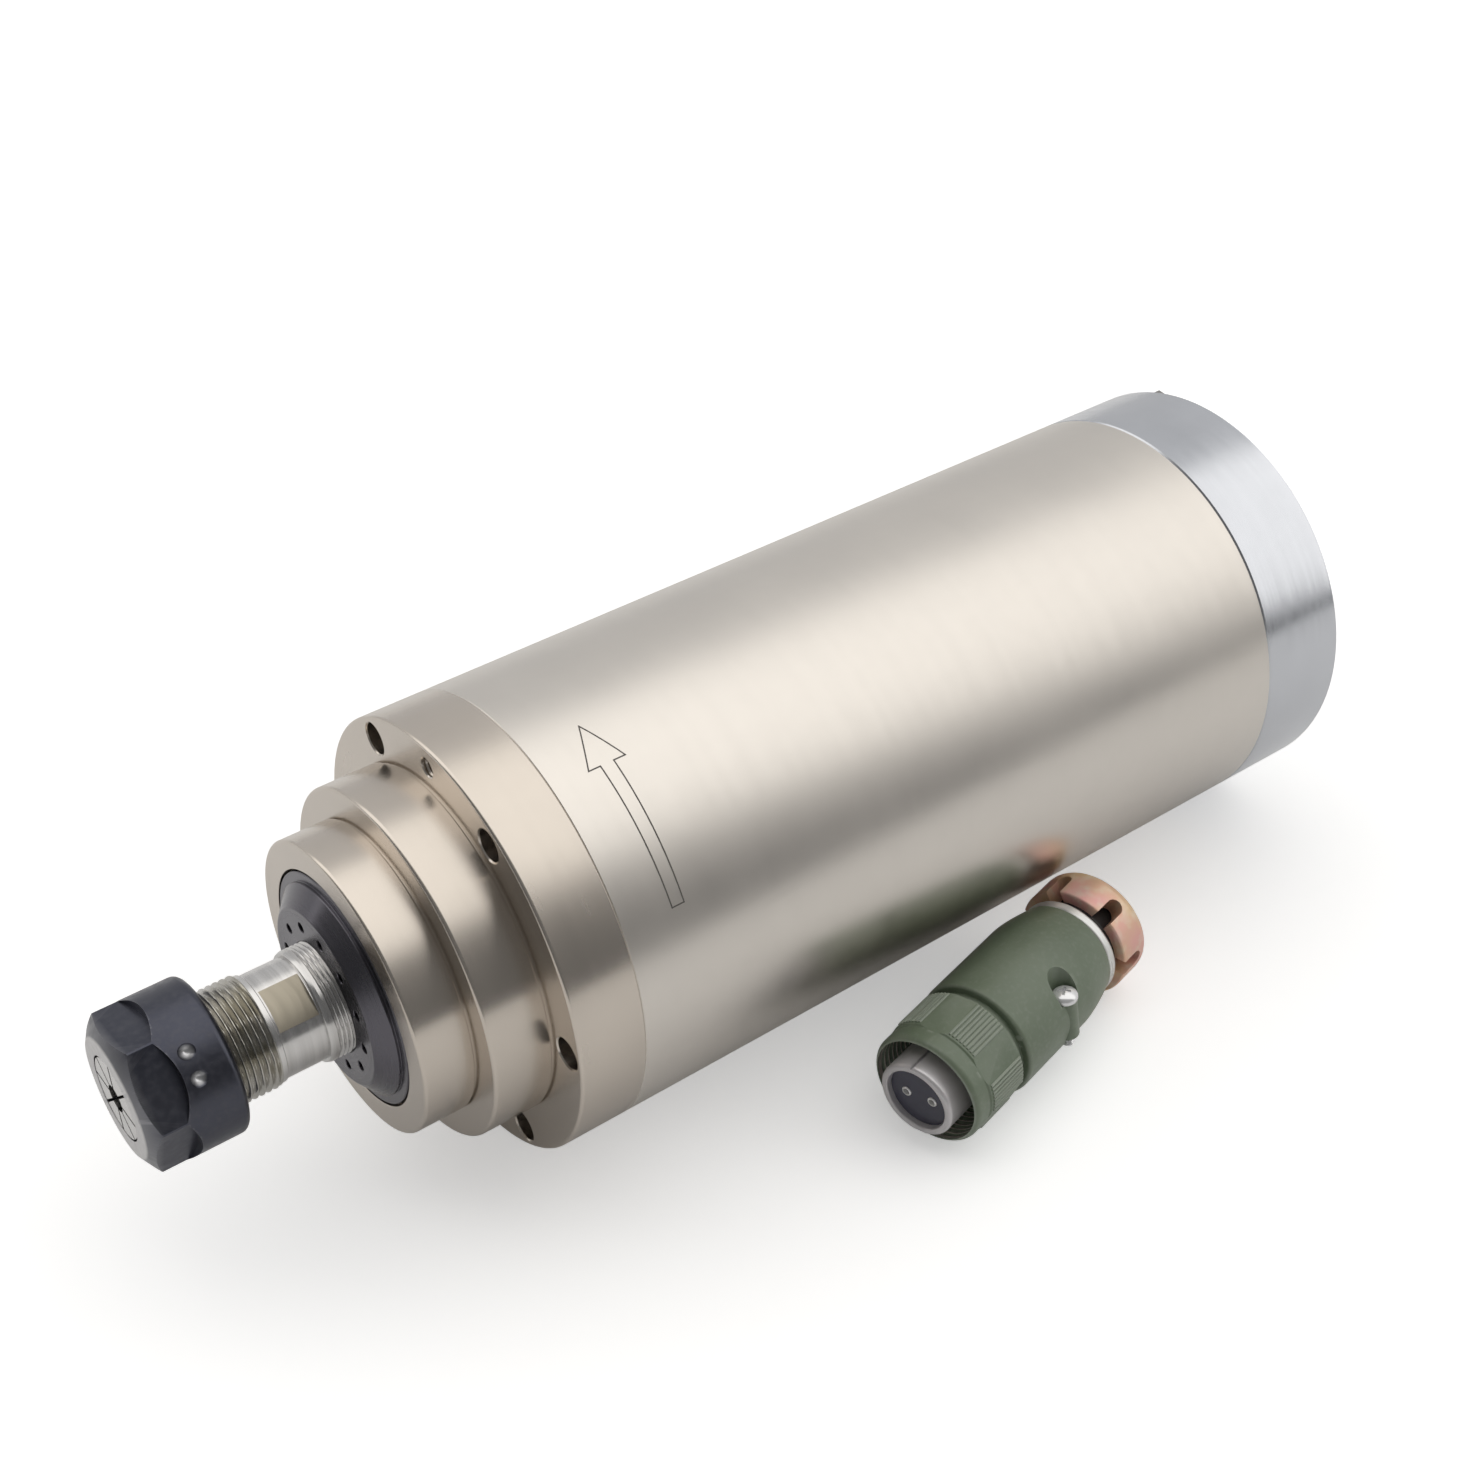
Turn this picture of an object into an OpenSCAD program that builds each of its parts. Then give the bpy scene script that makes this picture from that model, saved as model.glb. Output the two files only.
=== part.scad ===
// Water-cooled motor spindle with a collet nose, and its cable plug lying beside it.
// The spindle axis is X, the nose points to -X, and X = 0 is the front face of the flange.
// Angles round the spindle start at +Y and turn towards +Z.

/* [Housing] */
// Outer diameter of the barrel, the front flange and the rear cap
body_d = 100; // [98:0.5:104]
// Length of the front flange
flange_len = 15.5; // [15:0.5:18]
// Length of the barrel between the flange and the rear cap
barrel_len = 180.7; // [180:0.1:200]
// Wall of the barrel
barrel_wall = 8.5; // [8:0.1:9]
// Length of the rear cap
rear_cap_len = 23.8; // [23.4:0.1:30]
// Wall across the back of the rear cap
rear_cap_wall = 8; // [7:0.5:9]
// Thickness of the rear cap's rim round its hollow
rear_cap_rim = 17; // [16:0.5:18]
// Width of the flange's front face outside the boss
flange_step = 10; // [9:0.5:10.5]
// Length of the boss
boss_len = 14; // [13:0.5:16]
// Length of the flange spigot that enters the barrel
spigot_len = 10.5; // [9:0.5:12]
// Diameter of the hole where the shaft leaves the flange towards the rotor
throat_d = 35; // [34:0.5:38]
// Chamfer on the turned outer edges
edge_chamfer = 0.8; // [0.4:0.1:1.2]
// Running or sliding gap between parts that fit together
fit_gap = 0.05; // [0.02:0.01:0.08]

/* [Front cover and dust cap] */
// Diameter of the front cover ring
cover_d = 66.5; // [64:0.5:70]
// Length of the front cover ring
cover_len = 12; // [11:0.5:14]
// Diameter of the threaded spigot of the cover
cover_spigot_d = 56; // [54:0.5:58]
// Length of the threaded spigot of the cover
cover_spigot_len = 5; // [4:0.5:6]
// Bore of the cover round the dust cap sleeve
cover_bore = 33; // [32.4:0.2:36]
// Diameter of the turning dust cap
cap_d = 52.8; // [50:0.4:54]
// Gap between the dust cap and the cover round it
cap_gap = 0.5; // [0.3:0.1:0.8]
// Thickness of the dust cap rim
cap_rim_t = 3.5; // [3:0.5:4]
// Diameter of the step on the dust cap rim
cap_step_d = 48.4; // [46:0.4:50]
// Diameter of the flat centre face of the dust cap
cap_face_d = 40; // [38:0.5:42]
// How far the dust cap stands out of the cover
cap_proud = 4; // [3.5:0.1:5]
// Diameter of the dust cap sleeve that clamps the bearings
cap_sleeve_d = 31; // [30:0.5:32]
// Number of wrench pin holes in the dust cap
cap_hole_count = 12; // [8:1:16]
// Diameter of the wrench pin holes
cap_hole_d = 2.3; // [2:0.1:2.8]
// Pitch circle of the wrench pin holes
cap_hole_pcd = 32; // [31:0.5:34]
// Depth of the wrench pin holes
cap_hole_depth = 3; // [2:0.5:5]
// Angle of the first wrench pin hole
cap_hole_angle = 6; // [0:1:29]

/* [Housing screws] */
// Number of screws at each end of the barrel
screw_count = 6; // [4:1:6]
// Distance of the housing screws' axes from the outside of the barrel
screw_edge = 5; // [4.6:0.1:5.2]
// Thread diameter of the housing screws
screw_d = 4; // [3.5:0.1:4.2]
// Head diameter of the housing screws
screw_head_d = 6.8; // [6.5:0.1:7]
// Head height of the housing screws
screw_head_h = 4; // [3.5:0.1:4.5]
// Width across the flats of the housing screws' sockets
screw_socket = 3; // [2.5:0.1:3.2]
// Diameter of the holes that the screw heads sit in
screw_hole_d = 7.2; // [7.1:0.1:7.6]
// Depth of the front screw heads' holes
screw_sink = 10; // [9:0.5:11]
// Depth of the rear screw heads' holes
rear_screw_sink = 6; // [5:0.5:8]
// Depth of thread that each housing screw takes in the barrel
screw_bite = 14; // [10:1:18]
// Angle of the first front screw
screw_angle = 57; // [50:1:60]
// Angle of the first rear screw
rear_screw_angle = 30; // [24:1:32]
// Diameter of the two small holes in the flange face
jack_hole_d = 4.5; // [4:0.1:5]
// Depth of the two small holes in the flange face
jack_hole_depth = 9; // [6:1:12]
// Angle of the first small hole
jack_hole_angle = 87.4; // [85:0.2:90]

/* [Bearings] */
// Outer diameter of the front bearings
front_od = 47; // [46:0.5:48]
// Bore of the front bearings
front_bore = 25; // [24.6:0.1:25.4]
// Width of one front bearing
front_w = 12; // [11.5:0.1:12]
// Ball diameter of the front bearings
front_ball_d = 6; // [5.6:0.1:6.2]
// Number of balls in one front bearing
front_balls_n = 13; // [11:1:14]
// Outer diameter of the rear bearings
rear_od = 35; // [34:0.5:36]
// Bore of the rear bearings
rear_bore = 17; // [16.6:0.1:17.4]
// Width of one rear bearing
rear_w = 10; // [9.5:0.1:10]
// Ball diameter of the rear bearings
rear_ball_d = 4.8; // [4.4:0.1:5]
// Number of balls in one rear bearing
rear_balls_n = 12; // [10:1:12]
// Width of the spacers between paired bearings
spacer_w = 2; // [1.5:0.1:2.2]
// Running gap between a ball and its races
ball_gap = 0.15; // [0.1:0.01:0.2]
// Thickness of the ball cages
cage_t = 1.6; // [1.2:0.1:2]
// How far the first front bearing sits behind the boss face
front_inset = 2; // [1.5:0.1:2.5]
// Lip in front of the rear bearings
rear_lip = 2; // [1.5:0.5:3]
// Length of the rear bearing seat
rear_seat_len = 26.2; // [26:0.1:28]
// Height of the preload spring
spring_h = 1.4; // [1:0.1:1.8]
// Thickness of the preload spring
spring_t = 0.6; // [0.5:0.1:0.8]
// Diameter of the plate behind the rear bearings
plate_d = 54; // [52:1:58]
// Thickness of the plate behind the rear bearings
plate_t = 4; // [3:0.5:5]
// Pitch circle of the plate screws
plate_pcd = 46; // [44:0.5:46]
// Bore of the plate round the bearing nut
plate_bore = 24; // [23.5:0.5:26]

/* [Motor] */
// Length of the stator and rotor cores
stack_len = 92; // [84:1:96]
// Bore of the stator core
stator_bore = 42.4; // [42:0.2:44]
// Air gap between the rotor and the stator
air_gap = 0.5; // [0.4:0.1:0.8]
// Number of stator slots
slot_count = 24; // [18:6:24]
// Width of a slot opening
slot_mouth = 2; // [1.5:0.1:2.4]
// Depth of a stator slot
slot_depth = 9; // [8:0.5:10]
// How far the windings reach beyond the core
winding_len = 18; // [14:1:19]
// How far the windings' ends stay inside the core's outside
winding_inset = 1.8; // [1.5:0.1:2.4]
// Length of one rotor end ring
end_ring_len = 8; // [6:1:10]
// Diameter of the leads to the socket
lead_d = 2; // [1.6:0.1:2.2]

/* [Water jacket] */
// Radial thickness of the jacket
jacket_t = 5.4; // [5.2:0.1:6]
// Wall left under the water channels
jacket_floor = 2; // [1.6:0.1:2.4]
// Number of ring channels
channel_count = 10; // [8:1:11]
// Width of a ring channel
channel_w = 8; // [6:0.5:8]
// Width of the cuts that join the channels
link_w = 10; // [8:1:14]
// Thickness of the sealing rings
seal_d = 2; // [1.8:0.1:2.2]
// Distance of the sealing rings from the ends of their seats
seal_inset = 5; // [4.5:0.5:6]
// Diameter of the drilled water passages
passage_d = 4; // [3.5:0.1:4.2]
// Distance of the drilled water passages' axes from the outside of the barrel
passage_edge = 5.5; // [5.3:0.1:5.7]

/* [Shaft] */
// Diameter of the turned neck between the wrench flats
neck_d = 23; // [22:0.5:24]
// Width across the wrench flats
flats_w = 21; // [20:0.5:21.5]
// Length of the threaded collar in front of the dust cap
collar_len = 3; // [2:0.5:4]
// Length of the smooth band behind the flats
band_len = 2.3; // [2:0.1:3]
// Length of the wrench flats
flats_len = 9.3; // [8:0.1:10]
// Angle of the first wrench flat
flats_angle = 122; // [0:1:180]
// Length of the relief ring in front of the flats
relief_len = 1.4; // [1:0.1:2]
// Diameter of the nose thread
nose_thread_d = 24.8; // [24.4:0.1:25]
// Length of the nose thread
nose_thread_len = 22; // [21:0.5:24]
// Diameter of the shaft shoulder behind the front bearings
shoulder_d = 31; // [30:0.5:32]
// Length of the wide shoulder behind the front bearings
shoulder_len = 8; // [6:1:10]
// Diameter of the shaft in the rotor core
core_seat_d = 29; // [28:0.5:29.5]
// Diameter of the shaft between the rotor and the rear bearings
rear_shaft_d = 22; // [21:0.5:23]
// Bore through the shaft behind the collet taper
shaft_bore = 8; // [6:0.5:9]
// Depth of the tapered collet seat behind the shaft's end
taper_depth = 25; // [25:0.5:27]

/* [Bearing nut] */
// Outer diameter of the bearing nut
bearing_nut_d = 23; // [22:0.2:23.2]
// Length of the bearing nut
bearing_nut_len = 8; // [6:0.5:8]
// Number of wrench slots in the bearing nut
nut_slots = 4; // [3:1:6]
// Width of a wrench slot
nut_slot_w = 3.5; // [3:0.1:4]
// Depth of a wrench slot
nut_slot_depth = 1.4; // [1:0.1:1.6]

/* [Collet and nut] */
// Largest diameter of the collet
collet_d = 21; // [20.8:0.1:21.2]
// Length of the collet
collet_len = 31.5; // [31:0.1:32]
// Diameter of the collet's front face
collet_face_d = 17.8; // [17:0.1:18]
// Half angle of the collet's long taper
collet_angle = 8; // [7.6:0.1:8.2]
// Diameter of the tool shank that the collet grips
tool_d = 6; // [3:0.5:8]
// Number of slits from each end of the collet
slit_count = 8; // [6:2:8]
// Width of a collet slit
slit_w = 0.6; // [0.5:0.05:0.7]
// How far the slits stop from the other end
slit_stop = 5.5; // [5:0.5:8]
// Gap between the collet and its tapered seat
seat_gap = 0.04; // [0.02:0.01:0.08]
// Outer diameter of the collet nut
nut_d = 34.4; // [34:0.1:35]
// Width across the flats of the collet nut
nut_flats = 30; // [29.4:0.1:30.6]
// Length of the collet nut
nut_len = 20.7; // [20.5:0.1:22]
// Length of the flats on the collet nut
nut_hex_len = 10; // [9:0.5:10.5]
// Angle of the collet nut's first flat
nut_flat_angle = 20.7; // [0:0.1:60]
// Diameter of the cutter that mills the nut's flats, which gives each its curved end
flat_mill_d = 35; // [32:1:45]
// Rounding of the nut's rear edge
nut_round = 1.6; // [0.8:0.1:1.8]
// How far the nut's front face stands in front of the shaft's end
nut_overhang = 8.2; // [8:0.1:8.6]
// Diameter of the nut's flat front face
nut_face_d = 26; // [25:0.5:28]
// Diameter of the dimples on the nut
dimple_d = 4.6; // [4:0.2:5]
// Depth of the dimples on the nut
dimple_depth = 1.1; // [0.8:0.1:1.3]

/* [Rear fittings] */
// Angle by which everything on the rear cap is turned round the spindle
rear_turn = 250; // [245:1:255]
// Angle of the first hose fitting
fitting_angle = 53; // [50:1:54]
// Distance of the hose fittings' axes from the outside of the rear cap
fitting_edge = 9; // [8.6:0.1:9.2]
// Width across the flats of a hose fitting
fitting_flats = 14; // [13:0.2:14.4]
// Length of a hose fitting's hexagon
fitting_hex_len = 9; // [6:0.5:9]
// Thread diameter of a hose fitting
fitting_thread_d = 9.6; // [9:0.1:9.8]
// Length of a hose fitting's thread
fitting_thread_len = 10; // [9:0.5:11]
// Length of a hose fitting's barbed tail
tail_len = 17; // [14:0.5:20]
// Largest diameter of a barb
barb_d = 8.6; // [8:0.1:9]
// Diameter of the tail between barbs
tail_d = 7; // [6.6:0.1:7.2]
// Bore of a hose fitting
fitting_bore = 4.4; // [4:0.1:5]
// Number of barbs on a tail
barb_count = 3; // [2:1:4]
// Distance of the socket's axis from the spindle axis
socket_drop = 20; // [19.8:0.1:21]
// Width of the socket's square flange
socket_flange_w = 28; // [27:0.5:29]
// Thickness of the socket's flange
socket_flange_t = 2.5; // [2:0.1:3]
// Length of the socket's threaded shell
socket_len = 13.5; // [12:0.5:15]
// Outer diameter of the socket's threaded shell
socket_d = 25; // [24.6:0.1:25.2]
// Bore of the socket's shell
socket_bore = 19.4; // [19.2:0.1:20]
// Diameter of the socket's insulator
socket_insulator_d = 16; // [15:0.2:16.4]
// Distance of the socket's flange screws from the flange's edges
socket_screw_edge = 3; // [2.9:0.05:3.1]
// Thread diameter of the small screws
small_screw_d = 3; // [2.5:0.1:3]
// Head diameter of the small screws
small_head_d = 5.5; // [5:0.1:5.8]
// Head height of the small screws
small_head_h = 2; // [1.6:0.1:2.4]
// Thread length of the small screws
small_screw_len = 7; // [6:0.5:7]
// Angle of the earthing screw before the rear end's turn
earth_angle = 174; // [172:1:176]
// Distance of the earthing screw's axis from the outside of the rear cap
earth_edge = 5.2; // [5:0.1:5.6]
// Thread diameter of the earthing screw
earth_d = 4; // [3:0.5:4]
// Thread length of the earthing screw
earth_len = 8; // [6:0.5:9]
// Width across the flats of the earthing screw's head
earth_flats = 7; // [6:0.5:7]
// Height of the earthing screw's head
earth_head_h = 3.4; // [2.8:0.1:3.6]
// Outer diameter of the earthing screw's washer
washer_d = 8; // [7.6:0.1:8]
// Thickness of the earthing screw's washer
washer_t = 1; // [0.8:0.1:1.2]

/* [Plug] */
// Place of the plug's front along the spindle
plug_x = 74.2; // [60:0.2:90]
// How far the plug's coupling end lies out from the barrel's side
plug_side = 20.2; // [20:0.2:30]
// Heading of the plug's axis away from the spindle axis
plug_heading = 14; // [8:0.5:14]
// Roll of the plug about its own axis
plug_roll = -10; // [-20:1:10]
// Largest diameter of the plug
plug_d = 29.2; // [29:0.1:30]
// Length of the coupling ring
ring_len = 17.2; // [16.5:0.1:18]
// Diameter of the coupling ring's smooth collar
ring_collar_d = 27.8; // [27.4:0.1:28.2]
// Length of the coupling ring's smooth collar
ring_collar_len = 5.4; // [4.5:0.1:6]
// Radius of the coupling ring's rounded front edge
ring_round = 1.6; // [1:0.1:2]
// Bore of the coupling ring
ring_bore = 25.8; // [25.6:0.1:26]
// Number of smooth flats on the coupling ring
ring_flat_count = 6; // [4:1:8]
// Depth of a smooth flat below the ribbed surface
ring_flat_depth = 0.9; // [0.6:0.1:1]
// Lip at the back of the coupling ring
ring_lip_t = 2.6; // [2:0.1:3]
// Gap between the coupling ring and the shell behind it
ring_gap = 0.4; // [0.3:0.1:0.6]
// How far the insert shell stands in front of the coupling ring
insert_proud = 3.6; // [3:0.1:4]
// Outer diameter of the insert shell
insert_d = 18.6; // [18.4:0.1:18.8]
// Inner diameter of the insert shell
insert_bore = 15.2; // [15:0.1:15.6]
// Diameter of the insert shell's collar inside the coupling ring
insert_collar_d = 24.8; // [24:0.1:25]
// Depth of the insulator below the insert shell's edge
insulator_sink = 1.6; // [1.2:0.1:2.4]
// Distance between the two contacts
contact_pitch = 6.8; // [6:0.1:7]
// Outer diameter of a contact tube
contact_d = 2.4; // [2:0.1:2.6]
// Bore of a contact tube
contact_bore = 1.6; // [1.55:0.05:1.7]
// Diameter of the socket's contact pins
pin_d = 1.5; // [1.3:0.05:1.5]
// Width of the key slot
key_w = 1.2; // [1:0.1:1.6]
// Depth of the key slot
key_depth = 0.6; // [0.4:0.1:0.8]
// Width of the open groove between the ring and the shell
neck_gap = 2.2; // [1.8:0.1:2.6]
// Diameter of the neck in the open groove
neck_open_d = 25; // [24:0.2:26]
// Length of the plug's back shell
shell_len = 36; // [34:0.5:37]
// Diameter at the rear end of the back shell
shell_rear_d = 25.2; // [24.6:0.2:26]
// Length over which the back shell narrows
shell_taper_len = 11; // [9:0.5:12]
// Wall of the back shell
shell_wall = 2; // [1.6:0.1:2.4]
// Length of the plain metal ring behind the shell
band_ring_len = 2.6; // [2:0.1:3]
// Length of the rubber gasket behind the metal ring
gasket_len = 1.6; // [1.2:0.1:2]
// Diameter of the rubber gasket
gasket_d = 22.4; // [21:0.2:23]
// Length of the cable clamp sleeve
clamp_len = 10; // [9:0.5:10.5]
// Diameter of the cable clamp sleeve
clamp_d = 28; // [27:0.2:28.4]
// Number of notches in the cable clamp sleeve
notch_count = 6; // [4:1:6]
// Width of a notch
notch_w = 4; // [3.4:0.1:4.4]
// Depth of a notch
notch_depth = 6.5; // [5:0.5:7]
// Diameter of the cable hole
cable_hole_d = 8; // [7.5:0.1:9]
// Distance of the clamping screw from the plug's axis
boss_offset = 12.4; // [12.2:0.1:12.6]
// Distance of the clamping screw behind the ring's front
boss_x = 37; // [36:0.5:40]
// Diameter of the clamping screw's boss
boss_w = 5.6; // [5.4:0.1:5.8]
// Height of the boss top above the plug's axis
boss_top = 4.6; // [4:0.1:5]
// Depth of the boss bottom below the plug's axis
boss_bottom = 5.6; // [5:0.1:6]
// Head diameter of the clamping screw
clamp_head_d = 5.8; // [5.4:0.1:6]
// Head height of the clamping screw
clamp_head_h = 2.4; // [2:0.1:2.6]
// Thread diameter of the clamping screw
clamp_screw_d = 3; // [2.6:0.1:3.2]
// How far the clamping screw's tip stands out of the boss
clamp_tip = 2.8; // [2:0.1:3.2]

/* [Hidden] */

fine = 128;
medium = 64;
small = 40;
// A hair's overlap that makes cuts run cleanly past a face
cut = 0.5;
// Depth of the small hollows that only show as holes
hex_depth = 2;
// Full round left on the shaft's neck at each end of its flats
flats_margin = 0.3;
// Height of the stator's tooth tips under the slots
tooth_tip = 1.5;
// Length of the insert shell's key slot and of its notch
key_len = 10;
// How far the insert shell reaches into the back shell
insert_seat = 4;
// Share of a fillet's radius at which a two-step chamfer meets its round
arc_ease = 1 - cos(45);
// Length of the slope from the plug ring's collar up to its grip
ring_step = 0.7;
// Play of the plug ring's lip round the insert shell
ring_lip_gap = 0.4;
// How far the plug ring's flats run out over its collar
flat_lead = 1;
// Wall left outside the chamfer on a pan head
head_ease = 0.8;
// Width of a cross recess
cross_w = 0.6;
// Diameter at the bottom of a dimple
dimple_tip = 0.6;

// Places along the spindle axis
barrel_x0 = flange_len;
barrel_x1 = barrel_x0 + barrel_len;
rear_x = barrel_x1 + rear_cap_len;
cavity_x1 = rear_x - rear_cap_wall;
boss_x0 = -boss_len;
cover_x0 = boss_x0 - cover_len;
cap_x0 = cover_x0 - cap_proud;
jacket_x0 = barrel_x0 + spigot_len;
jacket_x1 = barrel_x1 - rear_seat_len;
stack_x0 = (jacket_x0 + jacket_x1 - stack_len) / 2;
stack_x1 = stack_x0 + stack_len;
front_x0 = boss_x0 + front_inset;
front_x1 = front_x0 + 2 * front_w + spacer_w;
rear_x0 = jacket_x1 + rear_lip;
rear_x1 = rear_x0 + 2 * rear_w + spacer_w;
plate_x1 = barrel_x1 + plate_t;
shaft_x1 = rear_x1 + bearing_nut_len + edge_chamfer;
band_x0 = cap_x0 - collar_len - band_len;
flats_x0 = band_x0 - flats_len;
relief_x0 = flats_x0 - relief_len;
nose_x = relief_x0 - nose_thread_len;
nut_x0 = nose_x - nut_overhang;
nut_x1 = nut_x0 + nut_len;

// Radii and diameters shared by parts that fit together
body_r = body_d / 2;
bore_r = body_r - barrel_wall;
inside_r = bore_r - fit_gap;
boss_d = body_d - 2 * flange_step;
rear_cap_bore = body_d - 2 * rear_cap_rim;
screw_pcd = body_d - 2 * screw_edge;
passage_pcd = body_d - 2 * passage_edge;
fitting_r = body_r - fitting_edge;
jacket_bore_r = inside_r - jacket_t;
stator_od = 2 * (jacket_bore_r - fit_gap);
channel_r = jacket_bore_r + jacket_floor;
rotor_r = stator_bore / 2 - air_gap;
throat_r = throat_d / 2;

// Sealing ring places along the spindle axis
seal_places = [
    barrel_x0 + seal_inset, jacket_x0 + seal_inset, jacket_x1 - seal_inset, jacket_x1 + seal_inset
];

// Collet profile, measured from its front face
groove_x0 = 3.6;
groove_x1 = 5.2;
groove_r = collet_d / 2 - 1.5;
flange_r = collet_d / 2 - 0.3;
cone_len = (flange_r - collet_face_d / 2) / tan(30);
land_x1 = 7;
collet_x0 = nut_x0 + 0.1;
function collet_r(s) = collet_d / 2 - (s - land_x1) * tan(collet_angle);

// Plug places along the plug axis, from the coupling ring's front
neck_x0 = ring_len + ring_gap;
shell_x0 = ring_len + neck_gap;
shell_x1 = shell_x0 + shell_len;
band_x1 = shell_x1 + band_ring_len;
gasket_x1 = band_x1 + gasket_len;
clamp_x1 = gasket_x1 + clamp_len;
lip_x0 = ring_len - ring_lip_t;
insert_x1 = shell_x0 + insert_seat;
plug_r = plug_d / 2;

// A solid turned about the spindle axis from points of [radius, x]
module turned(points, fn = fine) rotate([0, 90, 0]) rotate_extrude($fn = fn) polygon(points);

// A plain ring about the spindle axis
module ring(x0, x1, inner, outer, fn = fine)
    turned([[inner, x0], [outer, x0], [outer, x1], [inner, x1]], fn);

// A ring with a chamfer on both outer edges
module eased_ring(x0, x1, inner, outer, ease) turned([
    [inner, x0], [outer - ease, x0], [outer, x0 + ease],
    [outer, x1 - ease], [outer - ease, x1], [inner, x1]
]);

// A rod along the spindle axis
module rod(x0, x1, d, fn = small) translate([x0, 0, 0]) rotate([0, 90, 0])
    cylinder(h = x1 - x0, d = d, $fn = fn);

// A hexagonal rod along the spindle axis, given across its flats
module hex_rod(x0, x1, flats) translate([x0, 0, 0]) rotate([0, 90, 0]) rotate(30)
    cylinder(h = x1 - x0, d = flats / cos(30), $fn = 6);

// Children moved out to a radius and turned to an angle round the spindle
module polar(r, angle) rotate([angle, 0, 0]) translate([0, r, 0]) children();

// Children repeated evenly round the spindle
module repeat_round(count, r, first = 0) for (k = [0 : count - 1])
    polar(r, first + 360 * k / count) children();

// A socket-head screw along X with its head's seat at X = 0
module socket_screw(d, length, head_d, head_h, socket) difference() {
    union() {
        rod(-head_h, 0, head_d);
        rod(-head_h / 2, length, d);
    }
    hex_rod(-head_h - cut, -head_h + hex_depth, socket);
}

// A pan-head screw along X with its head's seat at X = 0 and a cross recess
module pan_screw(d, length, head_d, head_h) difference() {
    union() {
        turned([
            [0, -head_h], [head_d / 2 - head_ease, -head_h], [head_d / 2, -head_h + head_ease],
            [head_d / 2, 0], [0, 0]
        ], small);
        rod(-head_h / 2, length, d);
    }
    for (a = [0, 90]) rotate([a, 0, 0])
        translate([-head_h - cut, -head_d / 4, -cross_w / 2])
            cube([cut + head_h / 2, head_d / 2, cross_w]);
}

module screw_hole_pattern() repeat_round(screw_count, screw_pcd / 2, screw_angle) children();

// Children turned round the spindle to where the rear end stands
module rear_turned() rotate([rear_turn, 0, 0]) children();

module rear_screw_pattern() rear_turned() repeat_round(screw_count, screw_pcd / 2, rear_screw_angle)
    children();

module jack_hole_pattern() repeat_round(2, screw_pcd / 2, jack_hole_angle) children();

module plate_screw_pattern() rear_turned() repeat_round(4, plate_pcd / 2, 45) children();

module socket_place() rear_turned() translate([0, 0, -socket_drop]) children();

module earth_place() rear_turned() polar(body_r - earth_edge, earth_angle) children();

socket_screw_r = socket_flange_w / 2 - socket_screw_edge;

module socket_screw_pattern() for (y = [-1, 1], z = [-1, 1])
    translate([0, y * socket_screw_r, z * socket_screw_r]) children();

module contact_pattern() for (y = [-1, 1]) translate([0, y * contact_pitch / 2, 0]) children();

module fitting_pattern() rear_turned() for (a = [fitting_angle, 180 - fitting_angle])
    polar(fitting_r, a) rotate([90, 0, 0]) children();

module passage_pattern() rear_turned() for (a = [fitting_angle, 180 - fitting_angle])
    polar(passage_pcd / 2, a) children();

module plug_place() translate([plug_x, -body_r - plug_side, plug_r - body_r]) rotate([0, 0, plug_heading])
    rotate([plug_roll, 0, 0]) children();

// The grooves for the sealing rings, open to the outside of their seats
module seal_grooves(places) for (x = places)
    ring(x - seal_d * 0.6, x + seal_d * 0.6, bore_r - seal_d, bore_r + cut);

module front_flange() color("#a59a8c") difference() {
    turned([
        [cover_spigot_d / 2, boss_x0], [boss_d / 2 - edge_chamfer, boss_x0],
        [boss_d / 2, boss_x0 + edge_chamfer], [boss_d / 2, 0],
        [body_r - edge_chamfer, 0], [body_r, edge_chamfer], [body_r, barrel_x0],
        [inside_r, barrel_x0], [inside_r, jacket_x0], [throat_r, jacket_x0], [throat_r, front_x1],
        [front_od / 2, front_x1], [front_od / 2, boss_x0 + cover_spigot_len],
        [cover_spigot_d / 2, boss_x0 + cover_spigot_len]
    ]);
    screw_hole_pattern() {
        rod(-cut, screw_sink, screw_hole_d);
        rod(0, barrel_x0 + cut, screw_d + 2 * fit_gap);
    }
    jack_hole_pattern() rod(-cut, jack_hole_depth, jack_hole_d);
    seal_grooves([seal_places[0]]);
}

module front_cover() color("#b0a495") turned([
    [cap_d / 2 + cap_gap, cover_x0], [cover_d / 2 - edge_chamfer, cover_x0],
    [cover_d / 2, cover_x0 + edge_chamfer],
    [cover_d / 2, boss_x0], [cover_spigot_d / 2 - fit_gap, boss_x0],
    [cover_spigot_d / 2 - fit_gap, boss_x0 + cover_spigot_len],
    [front_od / 2 + fit_gap, boss_x0 + cover_spigot_len],
    [front_od / 2 + fit_gap, front_x0], [cover_bore / 2, front_x0],
    [cover_bore / 2, cover_x0 + cap_rim_t + cap_gap], [cap_d / 2 + cap_gap, cover_x0 + cap_rim_t + cap_gap]
]);

module dust_cap() color("#2a292e") difference() {
    turned([
        [front_bore / 2 + fit_gap, cap_x0], [cap_face_d / 2, cap_x0], [cap_step_d / 2, cover_x0 - 0.7],
        [cap_step_d / 2, cover_x0], [cap_d / 2, cover_x0], [cap_d / 2, cover_x0 + cap_rim_t],
        [cap_sleeve_d / 2, cover_x0 + cap_rim_t], [cap_sleeve_d / 2, front_x0],
        [front_bore / 2 + fit_gap, front_x0]
    ]);
    repeat_round(cap_hole_count, cap_hole_pcd / 2, cap_hole_angle)
        rod(cap_x0 - cut, cap_x0 + cap_hole_depth, cap_hole_d);
}

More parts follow.
